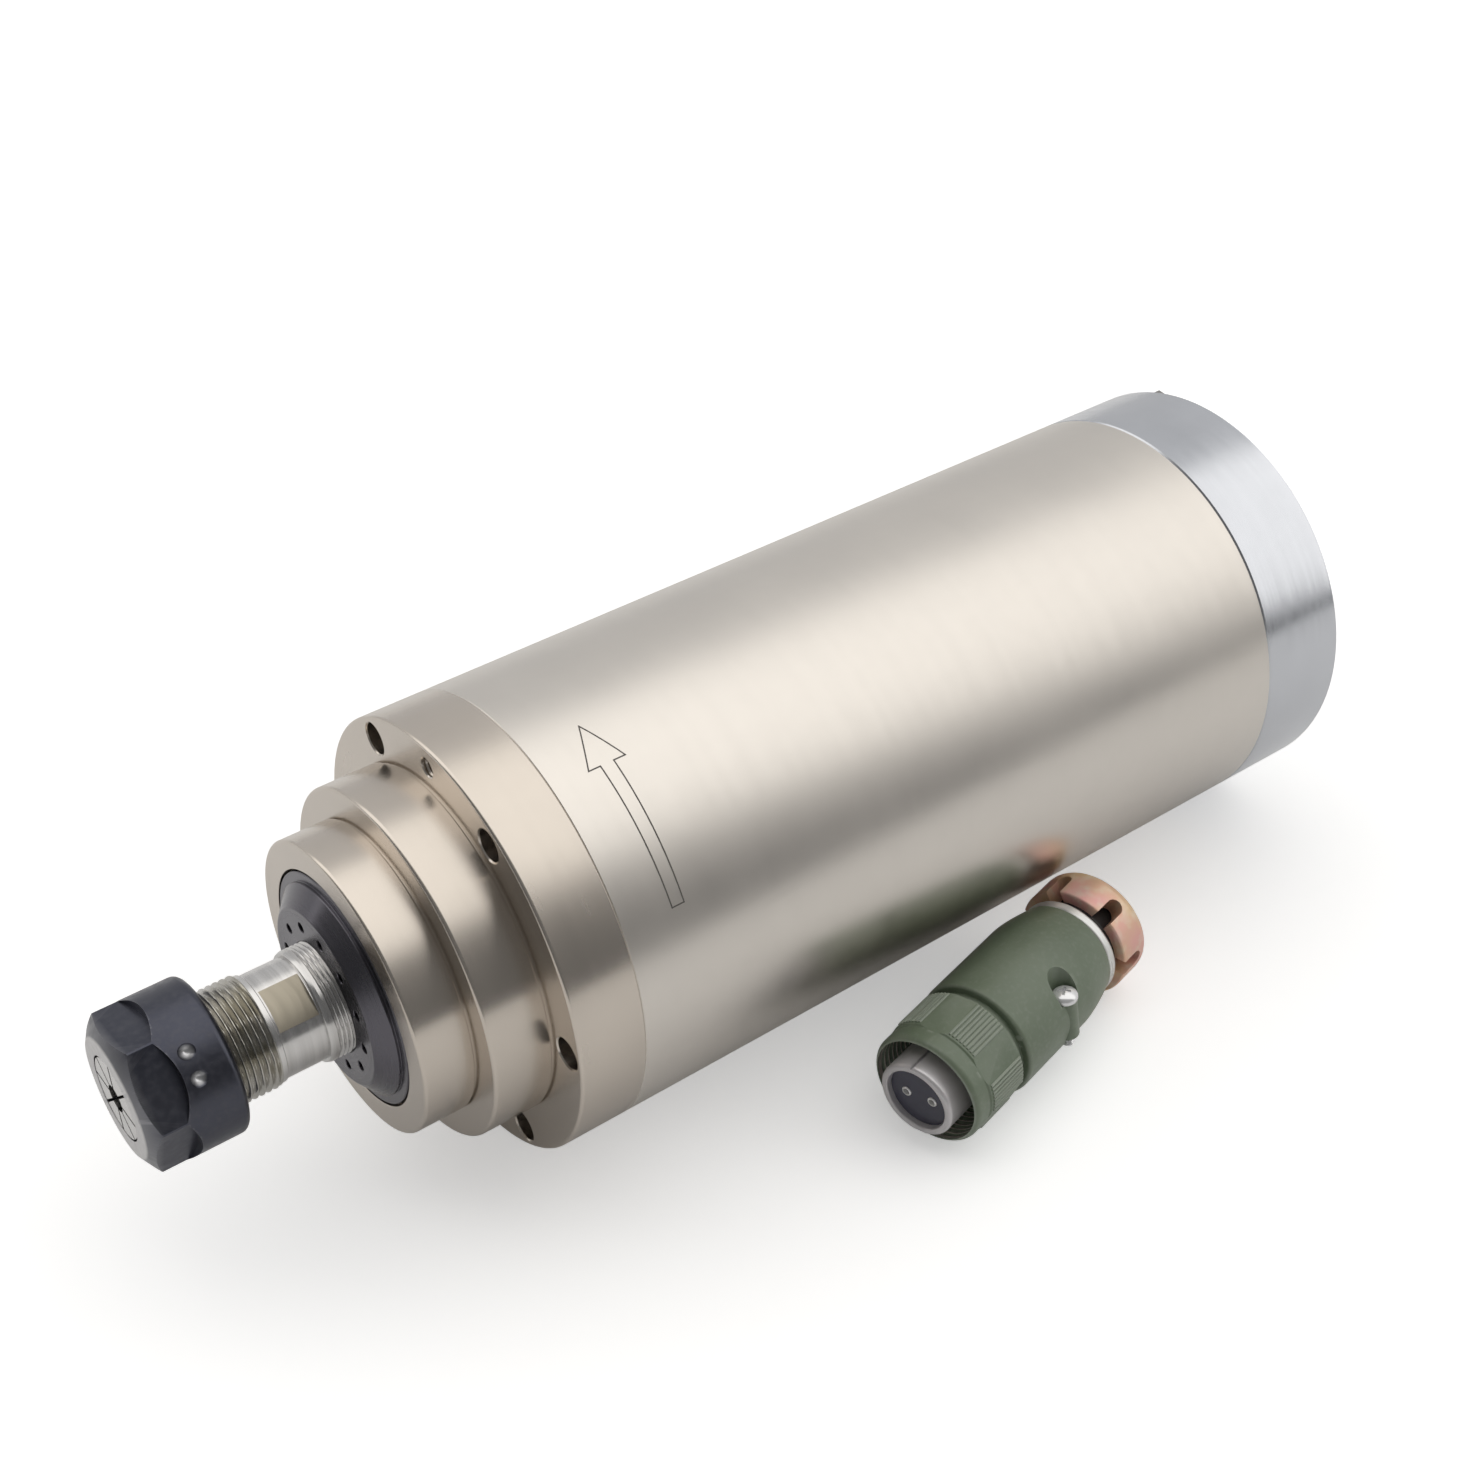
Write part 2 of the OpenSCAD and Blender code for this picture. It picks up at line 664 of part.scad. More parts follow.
module barrel() color("#c9c2b6") difference() {
    eased_ring(barrel_x0, barrel_x1, bore_r, body_r, 0.3);
    screw_hole_pattern() rod(barrel_x0 - cut, barrel_x0 + screw_bite + 1, screw_d + 2 * fit_gap);
    rear_screw_pattern() rod(barrel_x1 - screw_bite - 1, barrel_x1 + cut, screw_d + 2 * fit_gap);
    rear_turned() {
        polar(passage_pcd / 2, fitting_angle)
            rod(channel_mid(channel_count - 1), barrel_x1 + cut, passage_d);
        polar(passage_pcd / 2, 180 - fitting_angle) rod(channel_mid(0), barrel_x1 + cut, passage_d);
        cross_hole(fitting_angle, channel_count - 1);
        cross_hole(180 - fitting_angle, 0);
    }
}

// A radial hole from a drilled passage into a ring channel
module cross_hole(angle, channel) rotate([angle, 0, 0]) translate([channel_mid(channel), bore_r - cut, 0])
    rotate([-90, 0, 0]) cylinder(h = passage_pcd / 2 - bore_r + cut, d = passage_d - 0.4, $fn = small);

// Middle of ring channel number i
function channel_mid(i) = channel_first + i * channel_pitch;
channel_first = jacket_x0 + seal_inset + seal_d + channel_w / 2;
channel_last = jacket_x1 - seal_inset - seal_d - channel_w / 2;
channel_pitch = (channel_last - channel_first) / (channel_count - 1);

module water_jacket() color("#b9bcc0") difference() {
    ring(jacket_x0, jacket_x1, jacket_bore_r, inside_r);
    for (i = [0 : channel_count - 1])
        ring(channel_mid(i) - channel_w / 2, channel_mid(i) + channel_w / 2, channel_r, bore_r + cut);
    for (i = [0 : channel_count - 2]) rotate([rear_turn + fitting_angle + 180 * (i % 2) + 90, 0, 0])
        translate([channel_mid(i), channel_r, -link_w / 2]) cube([channel_pitch, bore_r, link_w]);
    seal_grooves([seal_places[1], seal_places[2]]);
}

module seal_rings() color("#1d1d1f") for (x = seal_places) translate([x, 0, 0]) rotate([0, 90, 0])
    rotate_extrude($fn = fine) translate([bore_r - seal_d / 2, 0]) circle(d = seal_d - 0.06, $fn = small);

module rear_seat() color("#9fa3a8") difference() {
    turned([
        [rear_od / 2 - 3, jacket_x1], [inside_r, jacket_x1], [inside_r, barrel_x1],
        [rear_od / 2, barrel_x1], [rear_od / 2, rear_x0], [rear_od / 2 - 3, rear_x0]
    ]);
    socket_place() contact_pattern() rod(jacket_x1 - cut, barrel_x1 + cut, lead_d + 1);
    plate_screw_pattern() rod(plate_x1 - small_screw_len - 2, barrel_x1 + cut, small_screw_d + 2 * fit_gap);
    seal_grooves([seal_places[3]]);
}

module rear_cap() color("#c6cad0") difference() {
    turned([
        [rear_cap_bore / 2, barrel_x1], [body_r - 0.4, barrel_x1], [body_r, barrel_x1 + 0.4],
        [body_r, rear_x - edge_chamfer], [body_r - edge_chamfer, rear_x], [0, rear_x], [0, cavity_x1],
        [rear_cap_bore / 2, cavity_x1]
    ]);
    rear_screw_pattern() {
        rod(rear_x - rear_screw_sink, rear_x + cut, screw_hole_d);
        rod(barrel_x1 - cut, rear_x, screw_d + 2 * fit_gap);
    }
    fitting_pattern() rod(rear_x - fitting_thread_len - 2, rear_x + cut, fitting_thread_d + 2 * fit_gap);
    passage_pattern() rod(barrel_x1 - cut, rear_x - fitting_thread_len, passage_d);
    earth_place() rod(rear_x - earth_len - 1, rear_x + cut, earth_d + 2 * fit_gap);
    socket_place() {
        rod(cavity_x1 - cut, rear_x + cut, socket_bore, medium);
        socket_screw_pattern() rod(cavity_x1 + 2, rear_x + cut, small_screw_d + 2 * fit_gap);
    }
}

module front_screws() color("#6b6a68") screw_hole_pattern() translate([screw_sink, 0, 0])
    socket_screw(screw_d, barrel_x0 - screw_sink + screw_bite, screw_head_d, screw_head_h, screw_socket);

module rear_screws() color("#55565a") rear_screw_pattern() translate([rear_x - rear_screw_sink, 0, 0])
    mirror([1, 0, 0]) socket_screw(
        screw_d, rear_cap_len - rear_screw_sink + screw_bite, screw_head_d, screw_head_h, screw_socket);

module earth_screw() color("#55565a") earth_place() union() {
    rod(rear_x - earth_len, rear_x + washer_t + 1, earth_d);
    hex_rod(rear_x + washer_t, rear_x + washer_t + earth_head_h, earth_flats);
}

module earth_washer() color("#9a9ca0") earth_place()
    ring(rear_x, rear_x + washer_t, earth_d / 2 + fit_gap, washer_d / 2, small);

module stator_core() color("#6f7072") difference() {
    ring(stack_x0, stack_x1, stator_bore / 2, stator_od / 2);
    repeat_round(slot_count, 0) {
        translate([stack_x0 - cut, stator_bore / 2 - cut, -slot_mouth / 2])
            cube([stack_len + 2 * cut, tooth_tip + 2 * cut, slot_mouth]);
        translate([stack_x0 - cut, stator_bore / 2 + tooth_tip, -slot_mouth * 0.8])
            cube([stack_len + 2 * cut, slot_depth - tooth_tip, slot_mouth * 1.6]);
    }
}

module stator_windings() color("#a4562a") for (x = [stack_x0 - winding_len, stack_x1])
    eased_ring(x, x + winding_len, stator_bore / 2 + tooth_tip, stator_od / 2 - winding_inset, 2);

module motor_leads() color("#b3262a") socket_place() contact_pattern()
    rod(stack_x1 + winding_len, lead_x1, lead_d, small);

// The leads end where the socket's pins start
lead_x1 = cavity_x1 - 4;

// Bearing rings with a ball groove: inner and outer edges, and the ball's pitch radius
module race(x0, w, inner, outer, ball_d, pitch_r) translate([x0, 0, 0]) rotate([0, 90, 0])
    rotate_extrude($fn = fine) difference() {
        translate([inner, 0]) square([outer - inner, w]);
        translate([pitch_r, w / 2]) circle(d = ball_d + 2 * ball_gap, $fn = medium);
    }

front_pitch_r = (front_od + front_bore) / 4;
rear_pitch_r = (rear_od + rear_bore) / 4;
front_places = [front_x0, front_x0 + front_w + spacer_w];
rear_places = [rear_x0, rear_x0 + rear_w + spacer_w];
// Half the open ring between the inner and outer race
front_gap_r = front_ball_d * 0.36;
rear_gap_r = rear_ball_d * 0.36;

module outer_rings(places, w, od, pitch_r, gap_r, ball_d) for (x = places)
    race(x, w, pitch_r + gap_r, od / 2 - fit_gap / 2, ball_d, pitch_r);

module inner_rings(places, w, bore, pitch_r, gap_r, ball_d) for (x = places)
    race(x, w, bore / 2 + fit_gap / 2, pitch_r - gap_r, ball_d, pitch_r);

module cages(places, w, pitch_r, ball_d, n) for (x = places) difference() {
    ring(x + 0.8, x + w - 0.8, pitch_r - cage_t / 2, pitch_r + cage_t / 2);
    for (k = [0 : n - 1]) rotate([360 * k / n, 0, 0]) translate([x + w / 2, pitch_r - cage_t, 0])
        rotate([-90, 0, 0]) cylinder(h = 2 * cage_t, d = ball_d + 0.2, $fn = small);
}

module balls(places, w, pitch_r, ball_d, n) for (x = places) repeat_round(n, pitch_r)
    translate([x + w / 2, 0, 0]) sphere(d = ball_d, $fn = small);

module front_outer_rings() color("#8f9499")
    outer_rings(front_places, front_w, front_od, front_pitch_r, front_gap_r, front_ball_d);

module front_inner_rings() color("#8f9499")
    inner_rings(front_places, front_w, front_bore, front_pitch_r, front_gap_r, front_ball_d);

module front_cages() color("#8a6d3b")
    cages(front_places, front_w, front_pitch_r, front_ball_d, front_balls_n);

module front_balls() color("#d8dade")
    balls(front_places, front_w, front_pitch_r, front_ball_d, front_balls_n);

module rear_outer_rings() color("#8f9499")
    outer_rings(rear_places, rear_w, rear_od, rear_pitch_r, rear_gap_r, rear_ball_d);

module rear_inner_rings() color("#8f9499")
    inner_rings(rear_places, rear_w, rear_bore, rear_pitch_r, rear_gap_r, rear_ball_d);

module rear_cages() color("#8a6d3b")
    cages(rear_places, rear_w, rear_pitch_r, rear_ball_d, rear_balls_n);

module rear_balls() color("#d8dade")
    balls(rear_places, rear_w, rear_pitch_r, rear_ball_d, rear_balls_n);

module outer_spacers() color("#a2a5a8") {
    ring(front_x0 + front_w, front_x0 + front_w + spacer_w,
        front_pitch_r + front_gap_r, front_od / 2 - fit_gap / 2);
    ring(rear_x0 + rear_w, rear_x0 + rear_w + spacer_w,
        rear_pitch_r + rear_gap_r, rear_od / 2 - fit_gap / 2);
}

module inner_spacers() color("#a2a5a8") {
    ring(front_x0 + front_w, front_x0 + front_w + spacer_w,
        front_bore / 2 + fit_gap / 2, front_pitch_r - front_gap_r);
    ring(rear_x0 + rear_w, rear_x0 + rear_w + spacer_w,
        rear_bore / 2 + fit_gap / 2, rear_pitch_r - rear_gap_r);
}

module preload_spring() color("#4c5a6b") turned([
    [plate_bore / 2 + 1, rear_x1 + spring_h - spring_t], [rear_od / 2 - 0.3, rear_x1],
    [rear_od / 2 - 0.3, rear_x1 + spring_t], [plate_bore / 2 + 1, rear_x1 + spring_h]
]);

module bearing_plate() color("#9a9da1") difference() {
    turned([
        [plate_bore / 2, rear_x1 + spring_h], [rear_od / 2 - fit_gap, rear_x1 + spring_h],
        [rear_od / 2 - fit_gap, barrel_x1], [plate_d / 2, barrel_x1], [plate_d / 2, plate_x1],
        [plate_bore / 2, plate_x1]
    ]);
    plate_screw_pattern() rod(barrel_x1 - cut, plate_x1 + cut, small_screw_d + 2 * fit_gap);
    socket_place() contact_pattern() rod(barrel_x1 - cut, plate_x1 + cut, lead_d + 1);
}

module plate_screws() color("#55565a") plate_screw_pattern() translate([plate_x1, 0, 0]) mirror([1, 0, 0])
    pan_screw(small_screw_d, small_screw_len, small_head_d, small_head_h);

module shaft() color("#aba69c") difference() {
    turned([
        [0, nose_x], [nose_thread_d / 2 - edge_chamfer, nose_x], [nose_thread_d / 2, nose_x + edge_chamfer],
        [nose_thread_d / 2, relief_x0], [neck_d / 2 + 0.4, relief_x0], [neck_d / 2 + 0.4, flats_x0],
        [neck_d / 2, flats_x0], [neck_d / 2, band_x0], [front_bore / 2, band_x0],
        [front_bore / 2, front_x1],
        [shoulder_d / 2, front_x1], [shoulder_d / 2, front_x1 + shoulder_len],
        [core_seat_d / 2 + 1, front_x1 + shoulder_len], [core_seat_d / 2 + 1, stack_x0 - end_ring_len],
        [core_seat_d / 2, stack_x0 - end_ring_len], [core_seat_d / 2, stack_x1 + end_ring_len],
        [rear_shaft_d / 2, stack_x1 + end_ring_len], [rear_shaft_d / 2, rear_x0],
        [rear_bore / 2, rear_x0], [rear_bore / 2, shaft_x1 - edge_chamfer],
        [rear_bore / 2 - edge_chamfer, shaft_x1], [0, shaft_x1]
    ]);
    turned([
        [0, nose_x - cut], [shaft_taper_r(nose_x) + 0.5, nose_x - cut],
        [shaft_taper_r(nose_x), nose_x + 0.2],
        [shaft_taper_r(nose_x + taper_depth), nose_x + taper_depth],
        [shaft_bore / 2 + 1, nose_x + taper_depth + 2],
        [0, nose_x + taper_depth + 2]
    ]);
    rod(nose_x, front_x1 + shoulder_len, shaft_bore);
    for (side = [0, 180]) rotate([flats_angle + side, 0, 0])
        translate([flats_x0 + flats_margin, flats_w / 2, -neck_d / 2])
            cube([flats_len - 2 * flats_margin, neck_d / 2, neck_d]);
}

// Radius of the collet seat in the shaft at a place along the spindle
function shaft_taper_r(x) = collet_r(x - collet_x0) + seat_gap;

module rotor_core() color("#5f6062") ring(stack_x0, stack_x1, core_seat_d / 2 + fit_gap / 2, rotor_r);

module rotor_end_rings() color("#c3c7cb") for (x = [stack_x0 - end_ring_len, stack_x1])
    eased_ring(x, x + end_ring_len, core_seat_d / 2 + fit_gap / 2, rotor_r - 0.5, 1);

module bearing_nut() color("#6c6f73") difference() {
    eased_ring(rear_x1, rear_x1 + bearing_nut_len, rear_bore / 2 + fit_gap, bearing_nut_d / 2, 0.5);
    for (k = [0 : nut_slots - 1]) rotate([360 * k / nut_slots, 0, 0])
        translate([rear_x1 + 2, bearing_nut_d / 2 - nut_slot_depth, -nut_slot_w / 2])
            cube([bearing_nut_len, bearing_nut_d, nut_slot_w]);
}

module collet() color("#b4b8bd") translate([collet_x0, 0, 0]) difference() {
    turned([
        [tool_d / 2, 0], [collet_face_d / 2, 0], [flange_r, cone_len], [flange_r, groove_x0 - 0.5],
        [groove_r, groove_x0], [groove_r, groove_x1], [collet_d / 2, groove_x1 + 0.8],
        [collet_d / 2, land_x1],
        [collet_r(collet_len), collet_len], [tool_d / 2, collet_len]
    ]);
    for (k = [0 : slit_count - 1]) {
        rotate([360 * k / slit_count, 0, 0])
            translate([-cut, tool_d / 2 - cut, -slit_w / 2])
                cube([collet_len - slit_stop + cut, collet_d, slit_w]);
        rotate([360 * (k + 0.5) / slit_count, 0, 0])
            translate([slit_stop, tool_d / 2 - cut, -slit_w / 2])
                cube([collet_len, collet_d, slit_w]);
    }
}

// Front cone of the collet nut, with its bore
nut_front_r = collet_face_d / 2 + 0.35;
ring_r = collet_d / 2 + 1.1;
ring_x0 = collet_x0 + groove_x0 + 0.1;
ring_x1 = collet_x0 + groove_x1 - 0.1;

module collet_nut() color("#24262b") difference() {
    turned([
        [nut_front_r, nut_x0], [nut_face_d / 2, nut_x0],
        [nut_d / 2, nut_x0 + (nut_d - nut_face_d) / 2 * 0.6],
        [nut_d / 2, nut_x1 - nut_round],
        [nut_d / 2 - nut_round * arc_ease, nut_x1 - nut_round * arc_ease],
        [nut_d / 2 - nut_round, nut_x1],
        [nose_thread_d / 2 + fit_gap, nut_x1], [nose_thread_d / 2 + fit_gap, ring_x1 + 0.4],
        [ring_r + fit_gap, ring_x1 + 0.4], [ring_r + fit_gap, ring_x0 - 0.2],
        [flange_r + 0.4, ring_x0 - 0.2], [flange_r + 0.4, collet_x0 + cone_len]
    ]);
    for (k = [0 : 5]) rotate([nut_flat_angle + 60 * k, 0, 0])
        translate([nut_x0 + nut_hex_len - flat_mill_d / 2, nut_flats / 2, 0])
            rotate([-90, 0, 0]) cylinder(h = nut_d, d = flat_mill_d, $fn = fine);
    for (a = [126, 145, 306, 325]) rotate([a, 0, 0])
        translate([nut_x0 + nut_hex_len + dimple_d * 0.6, nut_d / 2 - dimple_depth, 0])
            rotate([-90, 0, 0])
                cylinder(h = 2 * dimple_depth, d1 = dimple_tip, d2 = 2 * dimple_d - dimple_tip, $fn = small);
}

module extractor_ring() color("#8d9196") ring(ring_x0, ring_x1, groove_r + 0.35, ring_r);

module hose_fittings() color("#9a9ca0") fitting_pattern() difference() {
    union() {
        hex_rod(rear_x, rear_x + fitting_hex_len, fitting_flats);
        rod(rear_x - fitting_thread_len, rear_x + 1, fitting_thread_d);
        turned(concat(
            [[0, tail_x0 - 1], [tail_d / 2, tail_x0 - 1]],
            [for (i = [0 : barb_count - 1]) each barb(i)],
            [[0, tail_x0 + tail_len]]
        ), small);
    }
    rod(rear_x - fitting_thread_len - cut, tail_x0 + tail_len + cut, fitting_bore);
}

// Points of one barb on a hose tail, from the hexagon outwards
tail_x0 = rear_x + fitting_hex_len;
barb_pitch = (tail_len - 3) / barb_count;
function barb(i) = [
    [tail_d / 2, tail_x0 + 3 + i * barb_pitch], [barb_d / 2, tail_x0 + 3 + i * barb_pitch],
    [tail_d / 2, tail_x0 + 3 + (i + 1) * barb_pitch]
];

module socket_shell() color("#6e7a5e") socket_place() difference() {
    union() {
        translate([rear_x, -socket_flange_w / 2, -socket_flange_w / 2])
            cube([socket_flange_t, socket_flange_w, socket_flange_w]);
        rod(rear_x, rear_x + socket_flange_t + socket_len, socket_d, fine);
        rod(cavity_x1, rear_x + 1, socket_bore - 2 * fit_gap, fine);
    }
    rod(socket_floor_x, rear_x + socket_flange_t + socket_len + cut, socket_bore, fine);
    rod(cavity_x1 - cut, socket_floor_x + cut, socket_insulator_d, fine);
    socket_screw_pattern() rod(rear_x - cut, rear_x + socket_flange_t + cut, small_screw_d + 2 * fit_gap);
}

socket_floor_x = rear_x + socket_flange_t + 1;

module socket_insulator() color("#1f2024") socket_place() difference() {
    union() {
        rod(cavity_x1, socket_floor_x, socket_insulator_d - 2 * fit_gap, medium);
        rod(socket_floor_x - 1, socket_floor_x + insulator_sink - 0.3, insert_bore - 0.8, medium);
    }
    contact_pattern() rod(cavity_x1 - cut, rear_x + socket_len, pin_d + 2 * fit_gap);
}

module socket_pins() color("#c9a24a") socket_place() contact_pattern()
    rod(lead_x1, rear_x + socket_flange_t + socket_len - 3, pin_d);

module socket_screws() color("#a6a8ab") socket_place() socket_screw_pattern()
    translate([rear_x + socket_flange_t, 0, 0]) mirror([1, 0, 0])
        pan_screw(small_screw_d, small_screw_len, small_head_d, small_head_h);

module plug_ring() color("#5f6b54") plug_place() difference() {
    turned([
        [0, 0], [ring_collar_d / 2 - ring_round, 0],
        [ring_collar_d / 2 - ring_round * arc_ease, ring_round * arc_ease],
        [ring_collar_d / 2, ring_round], [ring_collar_d / 2, ring_collar_len - ring_step],
        [plug_r, ring_collar_len], [plug_r, ring_len], [0, ring_len]
    ]);
    rod(-cut, lip_x0, ring_bore, fine);
    rod(lip_x0 - cut, ring_len + cut, insert_d + 2 * ring_lip_gap, fine);
    for (k = [0 : ring_flat_count - 1]) rotate([360 * (k + 0.5) / ring_flat_count, 0, 0])
        translate([ring_collar_len - flat_lead, plug_r - ring_flat_depth, -plug_r])
            cube([ring_len, plug_r, plug_d]);
}

module plug_insert() color("#8d8a8c") plug_place() difference() {
    union() {
        ring(-insert_proud, insert_x1, insert_bore / 2, insert_d / 2);
        ring(lip_x0 - 2.4, lip_x0 - 0.4, insert_bore / 2, insert_collar_d / 2);
    }
    translate([-insert_proud - cut, -key_w / 2, insert_d / 2 - key_depth])
        cube([key_len, key_w, key_depth + cut]);
    translate([-insert_proud - cut, -key_w, -insert_d / 2 - cut])
        cube([key_len, 2 * key_w, cut + key_depth]);
}

module plug_insulator() color("#23242c") plug_place() difference() {
    rod(insulator_sink - insert_proud, insert_x1, insert_bore - 2 * fit_gap, medium);
    contact_pattern() rod(-insert_proud, insert_x1 + cut, contact_d + 2 * fit_gap);
}

module plug_contacts() color("#c8cacd") plug_place() contact_pattern() difference() {
    rod(insulator_sink - insert_proud - 0.3, insert_x1 + 3, contact_d);
    rod(-insert_proud, insert_x1 - 3, contact_bore);
}

module plug_shell() color("#66725c") plug_place() difference() {
    union() {
        turned([
            [insert_d / 2 + fit_gap, neck_x0], [neck_open_d / 2, neck_x0], [neck_open_d / 2, shell_x0],
            [plug_r - edge_chamfer, shell_x0], [plug_r, shell_x0 + edge_chamfer],
            [plug_r, shell_x1 - shell_taper_len],
            [plug_r - 0.35 * shell_narrow, shell_x1 - 0.5 * shell_taper_len],
            [shell_rear_d / 2, shell_x1], [shell_rear_d / 2 - shell_wall, shell_x1],
            [plug_r - shell_wall, shell_x1 - shell_taper_len], [plug_r - shell_wall, insert_x1 + 1],
            [insert_d / 2 + fit_gap, insert_x1 + 1]
        ]);
        translate([boss_x, -boss_offset, -boss_bottom])
            cylinder(h = boss_bottom + boss_top, d = boss_w, $fn = medium);
    }
    translate([boss_x, -boss_offset, boss_top]) cylinder(h = plug_r, d = clamp_head_d + 1.2, $fn = medium);
    translate([boss_x, -boss_offset, -plug_r])
        cylinder(h = plug_d, d = clamp_screw_d + 2 * fit_gap, $fn = small);
}

shell_narrow = plug_r - shell_rear_d / 2;

module plug_band() color("#b2b0ad") plug_place()
    eased_ring(shell_x1, band_x1, shell_rear_d / 2 - shell_wall, shell_rear_d / 2, 0.4);

module plug_gasket() color("#1c1b1d") plug_place() union() {
    ring(band_x1, gasket_x1, cable_hole_d / 2, gasket_d / 2);
    ring(gasket_x1 - 0.5, clamp_x1 - 2, cable_hole_d / 2, gasket_d / 2 - 2.4);
}

module plug_clamp() color("#b58a62") plug_place() difference() {
    turned([
        [gasket_d / 2 - 1.9, gasket_x1], [clamp_d / 2 - 0.4, gasket_x1], [clamp_d / 2, gasket_x1 + 0.4],
        [clamp_d / 2, clamp_x1 - 2.5], [clamp_d / 2 - 0.8, clamp_x1 - 0.8], [clamp_d / 2 - 2.5, clamp_x1],
        [cable_hole_d / 2 + 0.5, clamp_x1], [cable_hole_d / 2 + 0.5, clamp_x1 - 1.6],
        [gasket_d / 2 - 1.9, clamp_x1 - 1.6]
    ]);
    for (k = [0 : notch_count - 1]) rotate([360 * k / notch_count + 130, 0, 0]) {
        translate([gasket_x1 - cut, gasket_d / 2 - 3, -notch_w / 2])
            cube([notch_depth - notch_w / 2 + cut, plug_r, notch_w]);
        translate([gasket_x1 + notch_depth - notch_w / 2, gasket_d / 2 - 3, 0])
            rotate([-90, 0, 0]) cylinder(h = plug_r, d = notch_w, $fn = small);
    }
}

module plug_screw() color("#d2d3d5") plug_place() translate([boss_x, -boss_offset, boss_top])
    rotate([0, 90, 0])
    pan_screw(clamp_screw_d, boss_top + boss_bottom + clamp_tip, clamp_head_d, clamp_head_h);

front_flange();
front_cover();
dust_cap();
barrel();
water_jacket();
seal_rings();
rear_seat();
rear_cap();
front_screws();
rear_screws();
earth_screw();
earth_washer();
stator_core();
stator_windings();
motor_leads();
front_outer_rings();
front_inner_rings();
front_cages();
front_balls();
rear_outer_rings();
rear_inner_rings();
rear_cages();
rear_balls();
outer_spacers();
inner_spacers();
preload_spring();
bearing_plate();
plate_screws();
shaft();
rotor_core();
rotor_end_rings();
bearing_nut();
collet();
collet_nut();
extractor_ring();
hose_fittings();
socket_shell();
socket_insulator();
socket_pins();
socket_screws();
plug_ring();
plug_insert();
plug_insulator();
plug_contacts();
plug_shell();
plug_band();
plug_gasket();
plug_clamp();
plug_screw();
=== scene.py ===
"""The looks of a motor spindle with a collet nose, and of the cable plug that lies beside it."""
import math

import bmesh
import bpy
from mathutils import Matrix, Vector


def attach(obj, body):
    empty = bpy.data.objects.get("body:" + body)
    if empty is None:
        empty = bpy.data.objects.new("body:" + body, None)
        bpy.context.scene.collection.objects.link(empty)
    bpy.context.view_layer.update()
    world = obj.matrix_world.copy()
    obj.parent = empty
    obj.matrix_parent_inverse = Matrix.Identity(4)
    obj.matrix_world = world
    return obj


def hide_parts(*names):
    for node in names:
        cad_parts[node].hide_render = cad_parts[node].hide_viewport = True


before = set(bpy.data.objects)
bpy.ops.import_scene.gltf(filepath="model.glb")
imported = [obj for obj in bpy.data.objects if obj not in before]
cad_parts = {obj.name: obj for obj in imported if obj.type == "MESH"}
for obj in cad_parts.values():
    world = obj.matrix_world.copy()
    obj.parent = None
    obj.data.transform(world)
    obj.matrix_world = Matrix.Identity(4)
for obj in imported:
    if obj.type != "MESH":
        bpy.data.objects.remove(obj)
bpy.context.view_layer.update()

MM = 0.001

# Sides of a full turn, from the broad housing pieces down to the ribs
FINE_ROUND = 256
ROUND = 192
MILL_ROUND = 160
SHAFT_ROUND = 128
DOME_ROUND = 64
SMALL_ROUND = 48
HOLE_ROUND = 40
PIN_ROUND = 32
RIB_ROUND = 8

# Rounded corners: degrees of each short face, and the length held straight on both sides, in millimetres
ARC_STEP = 18
HOLD = 0.06
# A point of an outline closer to the axis than this, in millimetres, is a pole
ON_AXIS = 0.001
# Threads: rings of faces in one turn, the slope of the groove's sides, and the drop that leaves a land
RINGS_A_TURN = 15
GROOVE_SLOPE = 2.3
GROOVE_DROP = -0.15
# Edges that turn by more than this, in degrees, stay sharp in the shading
SHARP_ANGLE = 34

# Places along the spindle axis and radii, in millimetres, as the source has them
COVER_X = -26
BOSS_X = -14
COVER_SPIGOT_X = -9
BARREL_X = 15.5
BODY_R = 50
BOSS_R = 40
COVER_R = 33.25
FLOOR_Z = -50

# Screws: their pitch radius in millimetres, and the angle of the first one round the axis
SCREW_R = 45
SCREW_ANGLE = 57
REAR_SCREW_ANGLE = 40
JACK_ANGLE = 87.4

# The nose thread, and the two wrench flats milled behind it
NOSE_R = 12.4
NOSE_PITCH = 1.5
FLAT_ANGLE = 122
FLAT_DEEP = 10.5
FLAT_START = -44.3
FLAT_END = -35.6
FLAT_WAY = Vector((0, math.cos(math.radians(FLAT_ANGLE)), math.sin(math.radians(FLAT_ANGLE))))

# The collet nut
NUT_FACE_X = -76.2
NUT_CONE_X = -73.68
NUT_BACK_X = -55.5
NUT_R = 17.2
NUT_FLAT_ANGLE = 20.7
FLAT_MILL_R = 17.5
FLAT_MILL_X = -83.7
DIMPLE_X = -63.44

# The cable plug: its place, and sizes in its own frame
PLUG_PLACE = (
    Matrix.Translation(Vector((74.2, -70.2, -35.4)) * MM)
    @ Matrix.Rotation(math.radians(14), 4, "Z")
    @ Matrix.Rotation(math.radians(-10), 4, "X")
)
PLUG_R = 14.6
PLUG_PITCH = 1.5
RING_COLLAR_R = 13.9
RING_PAD_R = 14.25
# Radius inside which the ring's bore is bare metal, painted light to lift its shade
RING_BORE_R = 12.9
BARE_LIT_R = 12.98
RING_ROUND = 1.6
RING_FLAT = 13.85
RING_END_X = 17.2
INSERT_X = -3.6
INSERT_R = 9.3
INSERT_BORE_R = 7.6
CONTACT_R = 1.2
CONTACT_BORE_R = 0.8
CONTACT_SIDE = 3.4
